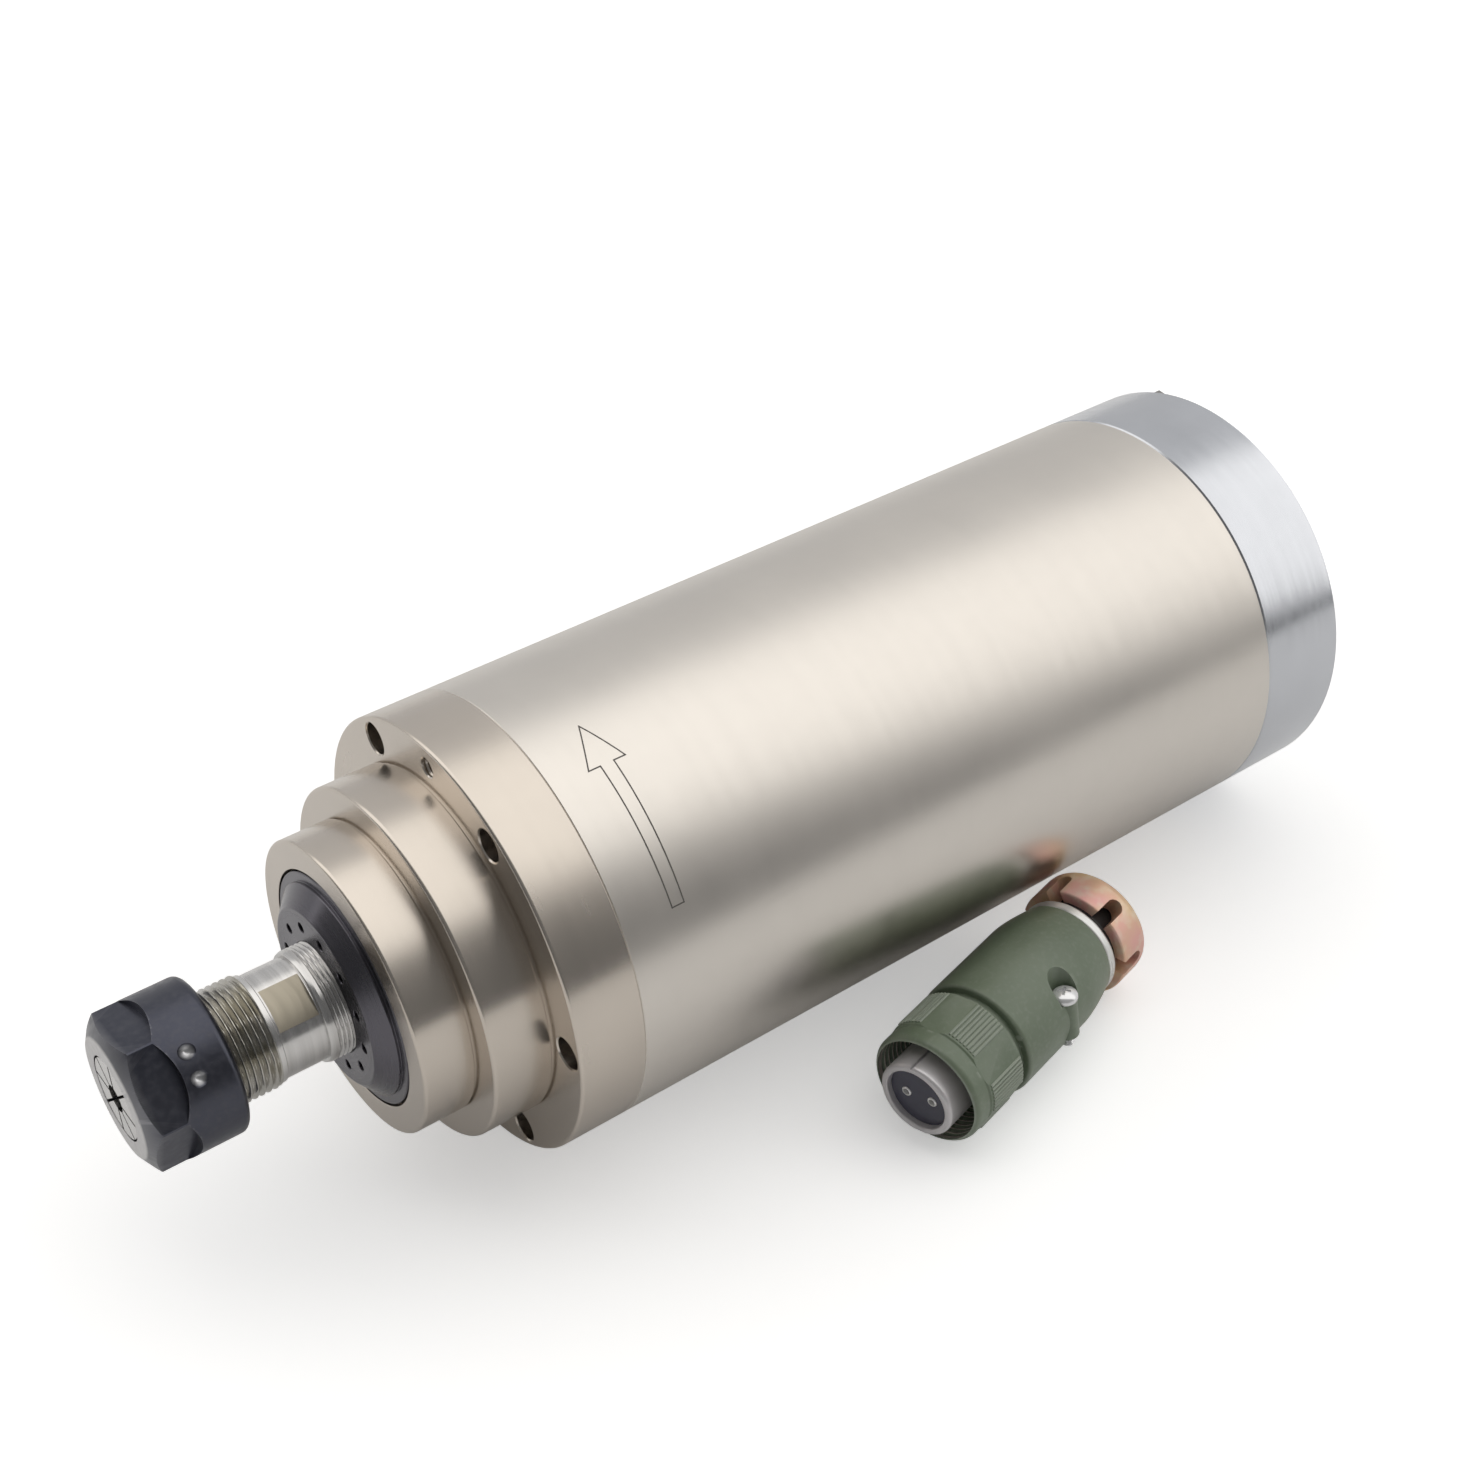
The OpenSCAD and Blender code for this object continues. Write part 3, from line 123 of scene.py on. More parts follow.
# The back shell, its smooth taper to the rear and the upright boss of its clamping screw
SHELL_END_X = 55.4
SHELL_BORE = 8.2
TAPER_X = 44.4
TAPER_LENGTH = 11
TAPER_DEEP = 2.0
TAPER_STEPS = 12
SCREW_BOSS = Matrix.Translation(Vector((37, -12.4, 0)) * MM) @ Matrix.Rotation(math.radians(-90), 4, "Y")
BOSS_TOP = 4.6
BOSS_FOOT = -5.6
CLAMP_SCREW_R = 1.5
CLAMP_HEAD_R = 3.05
# The band and the cable clamp with its notches
BAND_R = 12.6
BAND_END_X = 58
CLAMP_X = 59.6
CLAMP_END_X = 69.6
CLAMP_R = 14
NOTCH_ANGLE = 130
NOTCH_HALF = 2
NOTCH_END_X = 64.1

# Direction arrow: half its outline, as (sideways, down from the tip) in millimetres on the barrel's skin
ARROW_X = 28.9
ARROW_TIP = 100.9
ARROW_LINE = 0.15
ARROW_TOP_R = 50.012
ARROW_FOOT_R = 49.9
ARROW_SIDE = [(4.4, 10.4), (1.6, 10.4), (1.45, 42.5)]

NO_PLACE = Matrix.Identity(4)
TURN_TO_Y = Matrix.Rotation(math.radians(90), 4, "Z")

# Node trees


class Tree:
    """A short way to add nodes to a tree and join them."""

    def __init__(self, tree):
        self.tree = tree

    def add(self, kind, inputs=None, **settings):
        node = self.tree.nodes.new(kind)
        for name, value in settings.items():
            setattr(node, name, value)
        for name, value in (inputs or {}).items():
            self.put(node.inputs[name], value)
        return node

    def put(self, socket, value):
        if isinstance(value, bpy.types.NodeSocket):
            self.tree.links.new(value, socket)
        elif isinstance(value, bpy.types.Node):
            self.tree.links.new(value.outputs[0], socket)
        else:
            socket.default_value = value

    def math(self, operation, *values, clamp=False):
        node = self.add("ShaderNodeMath", operation=operation, use_clamp=clamp)
        for socket, value in zip(node.inputs, values):
            self.put(socket, value)
        return node.outputs[0]

    def vector(self, operation, *values):
        node = self.add("ShaderNodeVectorMath", operation=operation)
        for socket, value in zip(node.inputs, values):
            self.put(socket, value)
        return node

    def blend(self, share, first, second):
        """The first colour at a share of nought, the second at one."""
        node = self.add("ShaderNodeMix", data_type="RGBA")
        self.put(node.inputs[0], share)
        self.put(node.inputs[6], first)
        self.put(node.inputs[7], second)
        return node.outputs[2]

    def span(self, value, low, high, to_low=0.0, to_high=1.0):
        inputs = {"Value": value, "From Min": low, "From Max": high, "To Min": to_low, "To Max": to_high}
        return self.add("ShaderNodeMapRange", inputs).outputs[0]

    def patches(self, noise, to_low=0.0, to_high=1.0):
        """The middle of a noise's range, spread between two values."""
        return self.span(noise, 0.3, 0.7, to_low, to_high)

    def within(self, x, low, high):
        """One where a length lies between two places in millimetres, and nought elsewhere."""
        return self.math("COMPARE", x, (low + high) / 2 * MM, (high - low) / 2 * MM)

    def noise(self, place, scale, detail=3.0, rough=0.5):
        inputs = {"Vector": place, "Scale": scale, "Detail": detail, "Roughness": rough}
        return self.add("ShaderNodeTexNoise", inputs).outputs["Fac"]

    def line_noise(self, place, scale, detail=3.0):
        inputs = {"W": place, "Scale": scale, "Detail": detail}
        return self.add("ShaderNodeTexNoise", inputs, noise_dimensions="1D").outputs["Fac"]

    def bump(self, height, strength, distance, under=None):
        inputs = {"Height": height, "Strength": strength, "Distance": distance}
        if under is not None:
            inputs["Normal"] = under
        return self.add("ShaderNodeBump", inputs).outputs[0]


def grey(level):
    return (level, level, level, 1.0)


def shade(colour, level):
    return tuple(min(1.0, part * level) for part in colour[:3]) + (1.0,)


def start_material(name):
    """A new material with its node helper, its shader and its object coordinates."""
    material = bpy.data.materials.new(name)
    material.use_nodes = True
    tree = Tree(material.node_tree)
    shader = material.node_tree.nodes["Principled BSDF"]
    place = tree.add("ShaderNodeTexCoord").outputs["Object"]
    return material, tree, shader, place


def dress(tree, shader, colour, rough, normal, metal):
    """Joins a shader's colour, roughness, surface normal and share of metal, as sockets or plain values."""
    for label, value in ("Base Color", colour), ("Roughness", rough), ("Normal", normal), ("Metallic", metal):
        tree.put(shader.inputs[label], value)


def turned_grain(tree, shader, place, amount):
    """Lets the gloss spread across the turning lines, which run round the axis."""
    around = tree.vector("CROSS_PRODUCT", (1, 0, 0), place)
    turned = tree.add("ShaderNodeVectorTransform", {"Vector": around}, vector_type="VECTOR",
                      convert_from="OBJECT", convert_to="WORLD")
    normal = tree.add("ShaderNodeNewGeometry").outputs["Normal"]
    across = tree.vector("CROSS_PRODUCT", turned.outputs[0], normal)
    tree.put(shader.inputs["Tangent"], tree.vector("NORMALIZE", across.outputs[0]).outputs[0])
    shader.inputs["Anisotropic"].default_value = amount


def axis_place(tree, place):
    """Place along the spindle axis, and distance from it."""
    parts = tree.add("ShaderNodeSeparateXYZ", {"Vector": place}).outputs
    across = tree.add("ShaderNodeCombineXYZ", {"Y": parts["Y"], "Z": parts["Z"]})
    return parts["X"], tree.vector("LENGTH", across).outputs["Value"]


def along_skin(tree, place):
    """A length that grows along any turned surface, over faces as well as round skins."""
    return tree.math("ADD", *axis_place(tree, place))


def moved(tree, place, matrix):
    """The place in the frame of a piece that lies turned, such as the plug."""
    back = matrix.inverted()
    turn = back.to_euler()
    inputs = {"Vector": place, "Location": back.to_translation(), "Rotation": turn}
    return tree.add("ShaderNodeMapping", inputs).outputs[0]


def turned_metal(name, colour, rough, mark=0.06, mottle=0.06, coarse=420, spread=0.03, grain=0.0, metal=1.0,
                 matrix=None):
    """Machined metal: fine turning lines round the axis, a faint mottle, a few lines that shine more."""
    material, tree, shader, place = start_material(name)
    if matrix:
        place = moved(tree, place, matrix)
    elif grain:
        turned_grain(tree, shader, place, grain)
    along = along_skin(tree, place)
    cloud = tree.noise(place, scale=38, detail=4)
    fuzz = tree.noise(place, scale=240, detail=1)
    lines = tree.line_noise(along, scale=4200, detail=4)
    bands = tree.line_noise(along, scale=coarse, detail=2)
    toned = tree.blend(tree.patches(cloud), shade(colour, 1 - mottle), shade(colour, 1 + mottle))
    dust = tree.span(fuzz, 0.35, 0.75, 0.0, 0.03)
    dusted = tree.blend(dust, toned, shade(colour, 0.72))
    worn = tree.math("ADD", tree.patches(bands, -spread, spread), tree.patches(cloud, -0.02, 0.02))
    wiped = tree.math("ADD", worn, tree.span(fuzz, 0.4, 0.8, 0.0, 0.01))
    gloss = tree.math("ADD", wiped, rough, clamp=True)
    relief = tree.math("ADD", tree.math("MULTIPLY", lines, 0.6), tree.math("MULTIPLY", bands, 0.4))
    dress(tree, shader, dusted, gloss, tree.bump(relief, strength=mark, distance=0.02 * MM), metal)
    return material


def cast_metal(name, colour, rough, grain=0.1, scale=700, mottle=0.08, metal=1.0):
    """Cast, plated or blasted metal with a fine grain that has no direction."""
    material, tree, shader, place = start_material(name)
    cloud = tree.noise(place, scale=60, detail=4)
    grit = tree.noise(place, scale=scale, detail=1)
    toned = tree.blend(tree.patches(cloud), shade(colour, 1 - mottle), shade(colour, 1 + mottle))
    dust = tree.span(grit, 0.4, 0.8, 0, 0.15)
    dusted = tree.blend(dust, toned, shade(colour, 0.8))
    gloss = tree.patches(cloud, rough - 0.04, rough + 0.04)
    dress(tree, shader, dusted, gloss, tree.bump(grit, strength=grain, distance=0.06 * MM), metal)
    return material


def green_paint(name, bare_lit_bore=False):
    """Olive baked paint over die cast metal: soft orange peel, thin on raised edges, dust in patches."""
    dark_olive = (0.140, 0.182, 0.118, 1)
    light_olive = (0.190, 0.235, 0.166, 1)
    dust = (0.24, 0.28, 0.22, 1)
    thin_paint = (0.40, 0.44, 0.37, 1)
    bare_lit_metal = (0.66, 0.62, 0.57, 1)
    material, tree, shader, place = start_material(name)
    cloud = tree.noise(place, scale=55, detail=4)
    peel = tree.noise(place, scale=620, detail=1)
    grit = tree.noise(place, scale=900, detail=1)
    edge = tree.add("ShaderNodeNewGeometry").outputs["Pointiness"]
    toned = tree.blend(tree.patches(cloud), dark_olive, light_olive)
    dusted = tree.blend(tree.span(grit, 0.5, 0.8, 0, 0.35), toned, dust)
    worn = tree.blend(tree.span(edge, 0.512, 0.57, 0, 0.6), dusted, thin_paint)
    metal = 0.0
    # In the ring's bore the paint gives way to the bare metal of the inner thread, set light to lift the
    # bore's shade: partly real bare metal, partly painted light
    if bare_lit_bore:
        x, radius = axis_place(tree, moved(tree, place, PLUG_PLACE))
        in_bore = tree.math("MULTIPLY", tree.math("LESS_THAN", radius, BARE_LIT_R * MM),
                            tree.within(x, 0.5, 14.7))
        worn = tree.blend(in_bore, worn, bare_lit_metal)
        metal = tree.math("MULTIPLY", in_bore, 0.5)
    soft = tree.bump(peel, strength=0.18, distance=0.1 * MM)
    grainy = tree.bump(grit, strength=0.12, distance=0.03 * MM, under=soft)
    dress(tree, shader, worn, tree.patches(cloud, 0.34, 0.44), grainy, metal)
    shader.inputs["Coat Weight"].default_value = 0.25
    shader.inputs["Coat Roughness"].default_value = 0.3
    return material


def black_oxide():
    """Blackened steel with a blue cast; the nut's face is bare metal with a painted highlight, the slope
    behind it carries a painted sheen, and the dimples a painted highlight.
    """
    dark_blue = (0.062, 0.065, 0.085, 1)
    light_blue = (0.084, 0.087, 0.108, 1)
    dust = (0.14, 0.14, 0.155, 1)
    slope_sheen = (0.42, 0.42, 0.43, 1)
    bare_face_with_highlight = (0.60, 0.59, 0.59, 1)
    edge_metal = (0.36, 0.36, 0.38, 1)
    dimple_highlight = (0.62, 0.62, 0.63, 1)
    material, tree, shader, place = start_material("black_oxide")
    x, radius = axis_place(tree, place)
    cloud = tree.noise(place, scale=60, detail=4)
    grit = tree.noise(place, scale=700, detail=1)
    edge = tree.add("ShaderNodeNewGeometry").outputs["Pointiness"]
    toned = tree.blend(tree.patches(cloud), dark_blue, light_blue)
    dusted = tree.blend(tree.span(grit, 0.45, 0.8, 0, 0.25), toned, dust)
    # The slope lightens towards the face as a painted sheen; the face is bare metal, lightened further as a
    # painted highlight
    on_slope = tree.span(x, -73.3 * MM, NUT_FACE_X * MM, 0, 0.45)
    on_face = tree.span(x, -75.9 * MM, -76.15 * MM)
    bright = tree.blend(on_face, tree.blend(on_slope, dusted, slope_sheen), bare_face_with_highlight)
    rubbed = tree.blend(tree.span(edge, 0.52, 0.6, 0, 0.5), bright, edge_metal)
    # Inside the dimples the colour lightens towards their middle: a painted highlight
    near_dimple = tree.math("COMPARE", x, DIMPLE_X * MM, 2.2 * MM)
    dimple_highlight_share = tree.math("MULTIPLY", near_dimple, tree.span(radius, 17.05 * MM, 16.2 * MM))
    with_dimple_highlight = tree.blend(dimple_highlight_share, rubbed, dimple_highlight)
    grainy = tree.bump(grit, strength=0.1, distance=0.05 * MM)
    dress(tree, shader, with_dimple_highlight, tree.patches(grit, 0.28, 0.4), grainy, metal=0.9)
    return material


def clamp_plate():
    """Yellow chromate on zinc: gold that drifts into pink and back round the sleeve, with a soft gloss."""
    yellow_gold = (0.82, 0.58, 0.35, 1)
    pink_gold = (0.89, 0.48, 0.44, 1)
    pale_zinc = (0.90, 0.80, 0.66, 1)
    material, tree, shader, place = start_material("clamp_zinc")
    cloud = tree.noise(place, scale=95, detail=2)
    film = tree.noise(place, scale=260, detail=2)
    grit = tree.noise(place, scale=700, detail=1)
    gold = tree.blend(tree.span(cloud, 0.38, 0.62), yellow_gold, pink_gold)
    plated = tree.blend(tree.span(film, 0.5, 0.72, 0, 0.55), gold, pale_zinc)
    grainy = tree.bump(grit, strength=0.08, distance=0.05 * MM)
    dress(tree, shader, plated, tree.patches(grit, 0.3, 0.4), grainy, metal=0.4)
    return material


def moulded(name, colour, rough, grain=0.12):
    """Moulded plastic or rubber with a faint matt grain."""
    material, tree, shader, place = start_material(name)
    cloud = tree.noise(place, scale=90, detail=3)
    grit = tree.noise(place, scale=1500, detail=3)
    toned = tree.blend(tree.patches(cloud), shade(colour, 0.85), shade(colour, 1.15))
    gloss = tree.patches(grit, rough - 0.05, rough + 0.08)
    dress(tree, shader, toned, gloss, tree.bump(grit, strength=grain, distance=0.05 * MM), metal=0.0)
    return material


def laminated(name):
    """Stacked core sheets, seen as fine lines across the axis."""
    gap = (0.04, 0.04, 0.045, 1)
    dark_sheet = (0.16, 0.16, 0.17, 1)
    light_sheet = (0.28, 0.28, 0.29, 1)
    half_sheets_a_metre = 2000
    material, tree, shader, place = start_material(name)
    x = axis_place(tree, place)[0]
    sheets = tree.math("PINGPONG", tree.math("MULTIPLY", x, half_sheets_a_metre), 1.0)
    toned = tree.blend(tree.noise(place, scale=80, detail=4), dark_sheet, light_sheet)
    lined = tree.blend(tree.span(sheets, 0, 0.25), gap, toned)
    ridges = tree.bump(tree.span(sheets, 0, 0.3), strength=0.5, distance=0.1 * MM)
    dress(tree, shader, lined, 0.45, ridges, metal=0.8)
    return material


def wound_copper():
    """Enamelled copper strands lying round the bore, each painted dark where it meets the next: painted shade
    in the creases.
    """
    crease_shade_copper = (0.16, 0.045, 0.012, 1)
    bright_copper = (0.62, 0.24, 0.08, 1)
    half_strands_a_metre = 1100
    material, tree, shader, place = start_material("winding_copper")
    wave = tree.math("MULTIPLY", tree.noise(place, scale=120, detail=3), 2.2)
    strands = tree.math("ADD", tree.math("MULTIPLY", along_skin(tree, place), half_strands_a_metre), wave)
    strand = tree.math("PINGPONG", strands, 1.0)
    # Dark between strands and bright on their crowns: painted shade in the creases
    copper = tree.blend(strand, crease_shade_copper, bright_copper)
    dress(tree, shader, copper, 0.32, tree.bump(strand, strength=0.8, distance=0.4 * MM), metal=0.7)
    shader.inputs["Coat Weight"].default_value = 0.5
    return material


def shaft_steel():
    """Ground and turned steel, with an oily tint on the nose thread and on the two wrench flats."""
    dark_steel = (0.57, 0.56, 0.55, 1)
    light_steel = (0.68, 0.67, 0.66, 1)
    oily_thread = (0.36, 0.34, 0.28, 1)
    oily_flat = (0.37, 0.335, 0.27, 1)
    material, tree, shader, place = start_material("shaft_steel")
    turned_grain(tree, shader, place, 0.4)
    x, radius = axis_place(tree, place)
    along = tree.math("ADD", x, radius)
    cloud = tree.noise(place, scale=120, detail=4)
    lines = tree.line_noise(along, scale=2600, detail=4)
    bands = tree.line_noise(along, scale=700, detail=2)
    steel = tree.blend(tree.patches(bands), dark_steel, light_steel)
    stain = tree.math("MULTIPLY", tree.within(x, -67, -46), tree.span(cloud, 0.35, 0.6, 0.25, 0.85))
    oiled = tree.blend(stain, steel, oily_thread)
    depth = tree.math("ABSOLUTE", tree.vector("DOT_PRODUCT", place, FLAT_WAY).outputs["Value"])
    on_flat = tree.math("COMPARE", depth, FLAT_DEEP * MM, 0.03 * MM)
    flat = tree.math("MULTIPLY", on_flat, tree.within(x, FLAT_START - 0.05, FLAT_END + 0.05))
    gloss = tree.math("ADD", tree.patches(bands, 0.2, 0.27), tree.math("MULTIPLY", flat, 0.12))
    relief = tree.math("ADD", tree.math("MULTIPLY", lines, 0.4), tree.math("MULTIPLY", bands, 0.6))
    turned = tree.bump(tree.math("MULTIPLY", relief, tree.math("SUBTRACT", 1.0, flat)), strength=0.2,
                       distance=0.03 * MM)
    dress(tree, shader, tree.blend(flat, oiled, oily_flat), gloss, turned, metal=1.0)
    return material


# Every material of the part by its name

FLANGE_TONE = (0.625, 0.568, 0.505)
BARREL_TONE = (0.72, 0.68, 0.63)
PALE_METAL = (0.62, 0.63, 0.65)

materials = {
    "flange_nickel": turned_metal("flange_nickel", FLANGE_TONE, 0.25, mark=0.02, mottle=0.03, grain=0.6,
                                  coarse=300, spread=0.01),
    "barrel_nickel": turned_metal("barrel_nickel", BARREL_TONE, 0.33, mark=0.03, mottle=0.02, grain=0.3,
                                  coarse=260, spread=0.01),
    "cap_aluminium": turned_metal("cap_aluminium", (0.60, 0.615, 0.65), 0.19),
    "black_oxide": black_oxide(),
    "cap_black": turned_metal("cap_black", (0.135, 0.13, 0.148), 0.27, mark=0.03, grain=0.6),
    "shaft_steel": shaft_steel(),
    "engraved_mark": moulded("engraved_mark", (0.11, 0.10, 0.09), 0.5),
    "bearing_steel": turned_metal("bearing_steel", PALE_METAL, 0.12),
    "cage_brass": turned_metal("cage_brass", (0.62, 0.42, 0.17), 0.3, mark=0.2),
    "core_steel": laminated("core_steel"),
    "winding_copper": wound_copper(),
    "lead_red": moulded("lead_red", (0.45, 0.02, 0.025), 0.42),
    "jacket_aluminium": turned_metal("jacket_aluminium", PALE_METAL, 0.28, mark=0.3),
    "seal_rubber": moulded("seal_rubber", (0.02, 0.02, 0.021), 0.55),
    "screw_steel": cast_metal("screw_steel", (0.32, 0.31, 0.30), 0.3),
    "spring_steel": cast_metal("spring_steel", (0.16, 0.20, 0.27), 0.28),
    "collet_steel": turned_metal("collet_steel", (0.64, 0.63, 0.62), 0.22, mark=0.3),
    "fitting_nickel": cast_metal("fitting_nickel", (0.60, 0.60, 0.60), 0.2),
    "green_paint": green_paint("green_paint"),
    "ring_paint": green_paint("ring_paint", bare_lit_bore=True),
    "die_cast_grey": cast_metal("die_cast_grey", (0.66, 0.64, 0.65), 0.3, grain=0.03, scale=400, metal=0.4),
    "insulator_black": moulded("insulator_black", (0.062, 0.062, 0.092), 0.16, grain=0.02),
    "contact_plate": cast_metal("contact_plate", (1.0, 1.0, 0.98), 0.14, grain=0.01, mottle=0.02, metal=0.5),
    "clamp_zinc": clamp_plate(),
    "screw_bright": cast_metal("screw_bright", (0.88, 0.88, 0.89), 0.2, grain=0.02, metal=0.55),
    "bright_band": turned_metal("bright_band", (0.80, 0.80, 0.78), 0.28, mark=0.02, metal=0.6,
                                matrix=PLUG_PLACE),
}


# Camera, where the photograph was taken from

CAMERA_PLACE = (-0.15322, -0.30742, 0.32839)
CAMERA_WAY = Vector((0.46425, 0.62146, -0.63109))
CAMERA_LENS = 53.95
CAMERA_SENSOR = 36


def add_camera():
    data = bpy.data.cameras.new("view")
    data.sensor_fit = "HORIZONTAL"
    data.sensor_width = CAMERA_SENSOR
    data.lens = CAMERA_LENS
    data.clip_start = 0.01
    camera = bpy.data.objects.new("view", data)
    camera.location = CAMERA_PLACE
    camera.rotation_euler = CAMERA_WAY.to_track_quat("-Z", "Y").to_euler()
    bpy.context.scene.collection.objects.link(camera)
    bpy.context.scene.camera = camera


# Light: a studio ring of soft panels, written as one world colour by direction. Each panel is a pair: its
# share of the half circle from the lamp's far side, over the top, to the lamp's side, and its brightness

LAMP_SIDE = Vector((0.73, 0.68, 0.0))
PANELS = [
    (0.000, 0.16), (0.30, 0.18), (0.405, 0.18), (0.44, 1.35), (0.70, 1.35), (0.735, 0.66), (1.0, 0.60),
]
WARM = (1.015, 1.0, 0.975)
NEUTRAL = (1.0, 1.0, 1.0)
FLOOR_REACH = 0.9
FLOOR_TONE = 0.9
FLOOR_ROUGH = 0.9
FLOOR_GLOW = 0.42
FLOOR_GLOW_IN_METAL = 0.02


def light_world():
    world = bpy.data.worlds.new("studio")
    world.use_nodes = True
    bpy.context.scene.world = world
    tree = Tree(world.node_tree)
    background = world.node_tree.nodes["Background"]
    way = tree.add("ShaderNodeTexCoord").outputs["Generated"]
    side = tree.vector("DOT_PRODUCT", way, LAMP_SIDE).outputs["Value"]
    height = tree.add("ShaderNodeSeparateXYZ", {"Vector": way}).outputs["Z"]
    tilt = tree.math("ARCTAN2", side, height)
    share = tree.math("DIVIDE", tree.math("ADD", tilt, math.pi / 2), math.pi)
    ramp = tree.add("ShaderNodeValToRGB", {"Fac": share})
    stops = ramp.color_ramp.elements
    stops.remove(stops[-1])
    for k, (position, level) in enumerate(PANELS):
        stop = stops.new(position) if k else stops[0]
        stop.position = position
        stop.color = [level * part for part in (WARM if level > 1 else NEUTRAL)] + [1.0]
    rays = tree.add("ShaderNodeLightPath").outputs
    seen = tree.math("MAXIMUM", rays["Is Camera Ray"], rays["Is Transmission Ray"])
    tree.put(background.inputs["Color"], tree.blend(seen, ramp.outputs["Color"], grey(1.0)))


def add_floor():
    """A pale floor that keeps the shadow and shows hardly any glow of its own in the metal."""
    material, tree, shader = start_material("pale_floor")[:3]
    shader.inputs["Base Color"].default_value = grey(FLOOR_TONE)
    shader.inputs["Roughness"].default_value = FLOOR_ROUGH
    shader.inputs["Emission Color"].default_value = grey(1.0)
    rays = tree.add("ShaderNodeLightPath").outputs
    seen = tree.math("MULTIPLY", rays["Is Camera Ray"], FLOOR_GLOW)
    bounced = tree.math("MAXIMUM", rays["Is Glossy Ray"], rays["Is Transmission Ray"])
    mirrored = tree.math("MULTIPLY", bounced, FLOOR_GLOW_IN_METAL)
    tree.put(shader.inputs["Emission Strength"], tree.math("ADD", seen, mirrored))
    sides = [(-1, -1), (1, -1), (1, 1), (-1, 1)]
    corners = [(FLOOR_REACH * x, FLOOR_REACH * y, FLOOR_Z * MM) for x, y in sides]
    mesh = bpy.data.meshes.new("floor")
    mesh.from_pydata(corners, [], [(0, 1, 2, 3)])
    mesh.materials.append(material)
    floor = bpy.data.objects.new("floor", mesh)
    bpy.context.scene.collection.objects.link(floor)


# Shapes


def eased(points):
    """The outline of (x, r, ease) points, each marked corner rounded and held straight beside its round."""
    outline = []
    for k, (x, r, ease) in enumerate(points):
        corner = Vector((x, r))
        if not ease:
            outline.append(corner)
            continue
        before = (Vector(points[k - 1][:2]) - corner).normalized()
        after = (Vector(points[(k + 1) % len(points)][:2]) - corner).normalized()
        half = before.angle(after) / 2
        reach = ease / math.tan(half)
        centre = corner + (before + after).normalized() * (ease / math.sin(half))
        spoke = corner + before * reach - centre
        sweep = (math.pi - 2 * half) * math.copysign(1, before.cross(after))
        steps = max(2, round(math.degrees(abs(sweep)) / ARC_STEP))
        arc = [centre + Matrix.Rotation(-sweep * step / steps, 2) @ spoke for step in range(steps + 1)]
        outline += [arc[0] + before * HOLD] + arc + [arc[-1] + after * HOLD]
    return outline


def stretch(start, stop, radius, pitch):
    """Outline points close enough to each other to carry a thread of that pitch."""
    count = math.ceil(abs(stop - start) / pitch * RINGS_A_TURN)
    return [(start + (stop - start) * k / count, radius, 0) for k in range(1, count)]


def lathe(name, points, steps=ROUND):
    """A closed skin turned about X from an outline, where a point on the axis becomes a pole."""
    mesh = bmesh.new()
    rings = []
    for x, r in eased(points):
        if r < ON_AXIS:
            rings.append([mesh.verts.new((x * MM, 0, 0))])
            continue
        angles = [math.tau * k / steps for k in range(steps)]
        rings.append([mesh.verts.new((x * MM, r * MM * math.cos(a), r * MM * math.sin(a))) for a in angles])
    for first, second in zip([rings[-1]] + rings, rings):
        if len(first) == 1 and len(second) == 1:
            continue
        for k in range(steps):
            after = (k + 1) % steps
            corners = (
                first[k % len(first)], first[after % len(first)],
                second[after % len(second)], second[k % len(second)],
            )
            mesh.faces.new(list(dict.fromkeys(corners)))
    bmesh.ops.recalc_face_normals(mesh, faces=mesh.faces)
    return add_mesh(name, mesh)


def block(name, low, high):
    """A plain block between two corners in millimetres, used as a cutter."""
    mesh = bmesh.new()
    size = Vector(high) - Vector(low)
    middle = (Vector(high) + Vector(low)) / 2
    bmesh.ops.create_cube(mesh, size=1.0)
    bmesh.ops.transform(mesh, matrix=Matrix.LocRotScale(middle * MM, None, size * MM), verts=mesh.verts)
    return add_mesh(name, mesh)


def prism(name, flats, start, stop):
    """A hexagonal prism along X, measured across its flats."""
    corner_r = flats / 2 / math.cos(math.pi / 6)
    return lathe(name, [(start, 0, 0), (start, corner_r, 0), (stop, corner_r, 0), (stop, 0, 0)], 6)


def add_mesh(name, mesh):
    data = bpy.data.meshes.new(name)
    mesh.to_mesh(data)
    mesh.free()
    piece = bpy.data.objects.new(name, data)
    bpy.context.scene.collection.objects.link(piece)
    return piece


def settle(piece):
    """Keeps the evaluated shape of a piece as a plain mesh and takes its modifiers off."""
    bpy.context.view_layer.update()
    evaluated = piece.evaluated_get(bpy.context.evaluated_depsgraph_get())
    mesh = bpy.data.meshes.new_from_object(evaluated)
    piece.modifiers.clear()
    piece.data = mesh
    return piece


def combine(piece, other, operation):
    """Joins another shape to a piece or takes it out, and removes the other."""
    modifier = piece.modifiers.new("combine", "BOOLEAN")
    modifier.operation = operation
    modifier.solver = "EXACT"
    modifier.object = other
    settle(piece)
    bpy.data.objects.remove(other)


def cut(piece, *cutters):
    """Takes the shape of each cutter out of a piece."""
    for cutter in cutters:
        combine(piece, cutter, "DIFFERENCE")


def skin(start, stop, radius, step=1.0):
    """Outline points that keep the faces of a plain turned skin short, so that cuts in it shade well."""
    return stretch(start, stop, radius, step * RINGS_A_TURN)


def placed(piece, matrix):
    piece.data.transform(matrix)
    return piece


def finish_piece(piece, finish, body, nodes=(), place=NO_PLACE, sharp=SHARP_ANGLE):
    """Puts a piece in its place, with its shading, its material, its body and the nodes it stands for."""
    mesh = piece.data
    mesh.transform(place)
    mesh.materials.clear()
    mesh.materials.append(materials[finish])
    mesh.shade_smooth()
    mesh.set_sharp_from_angle(angle=math.radians(sharp))
    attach(piece, body)
    if nodes:
        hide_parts(*nodes)


# Geometry Nodes: copies round the axis, and threads


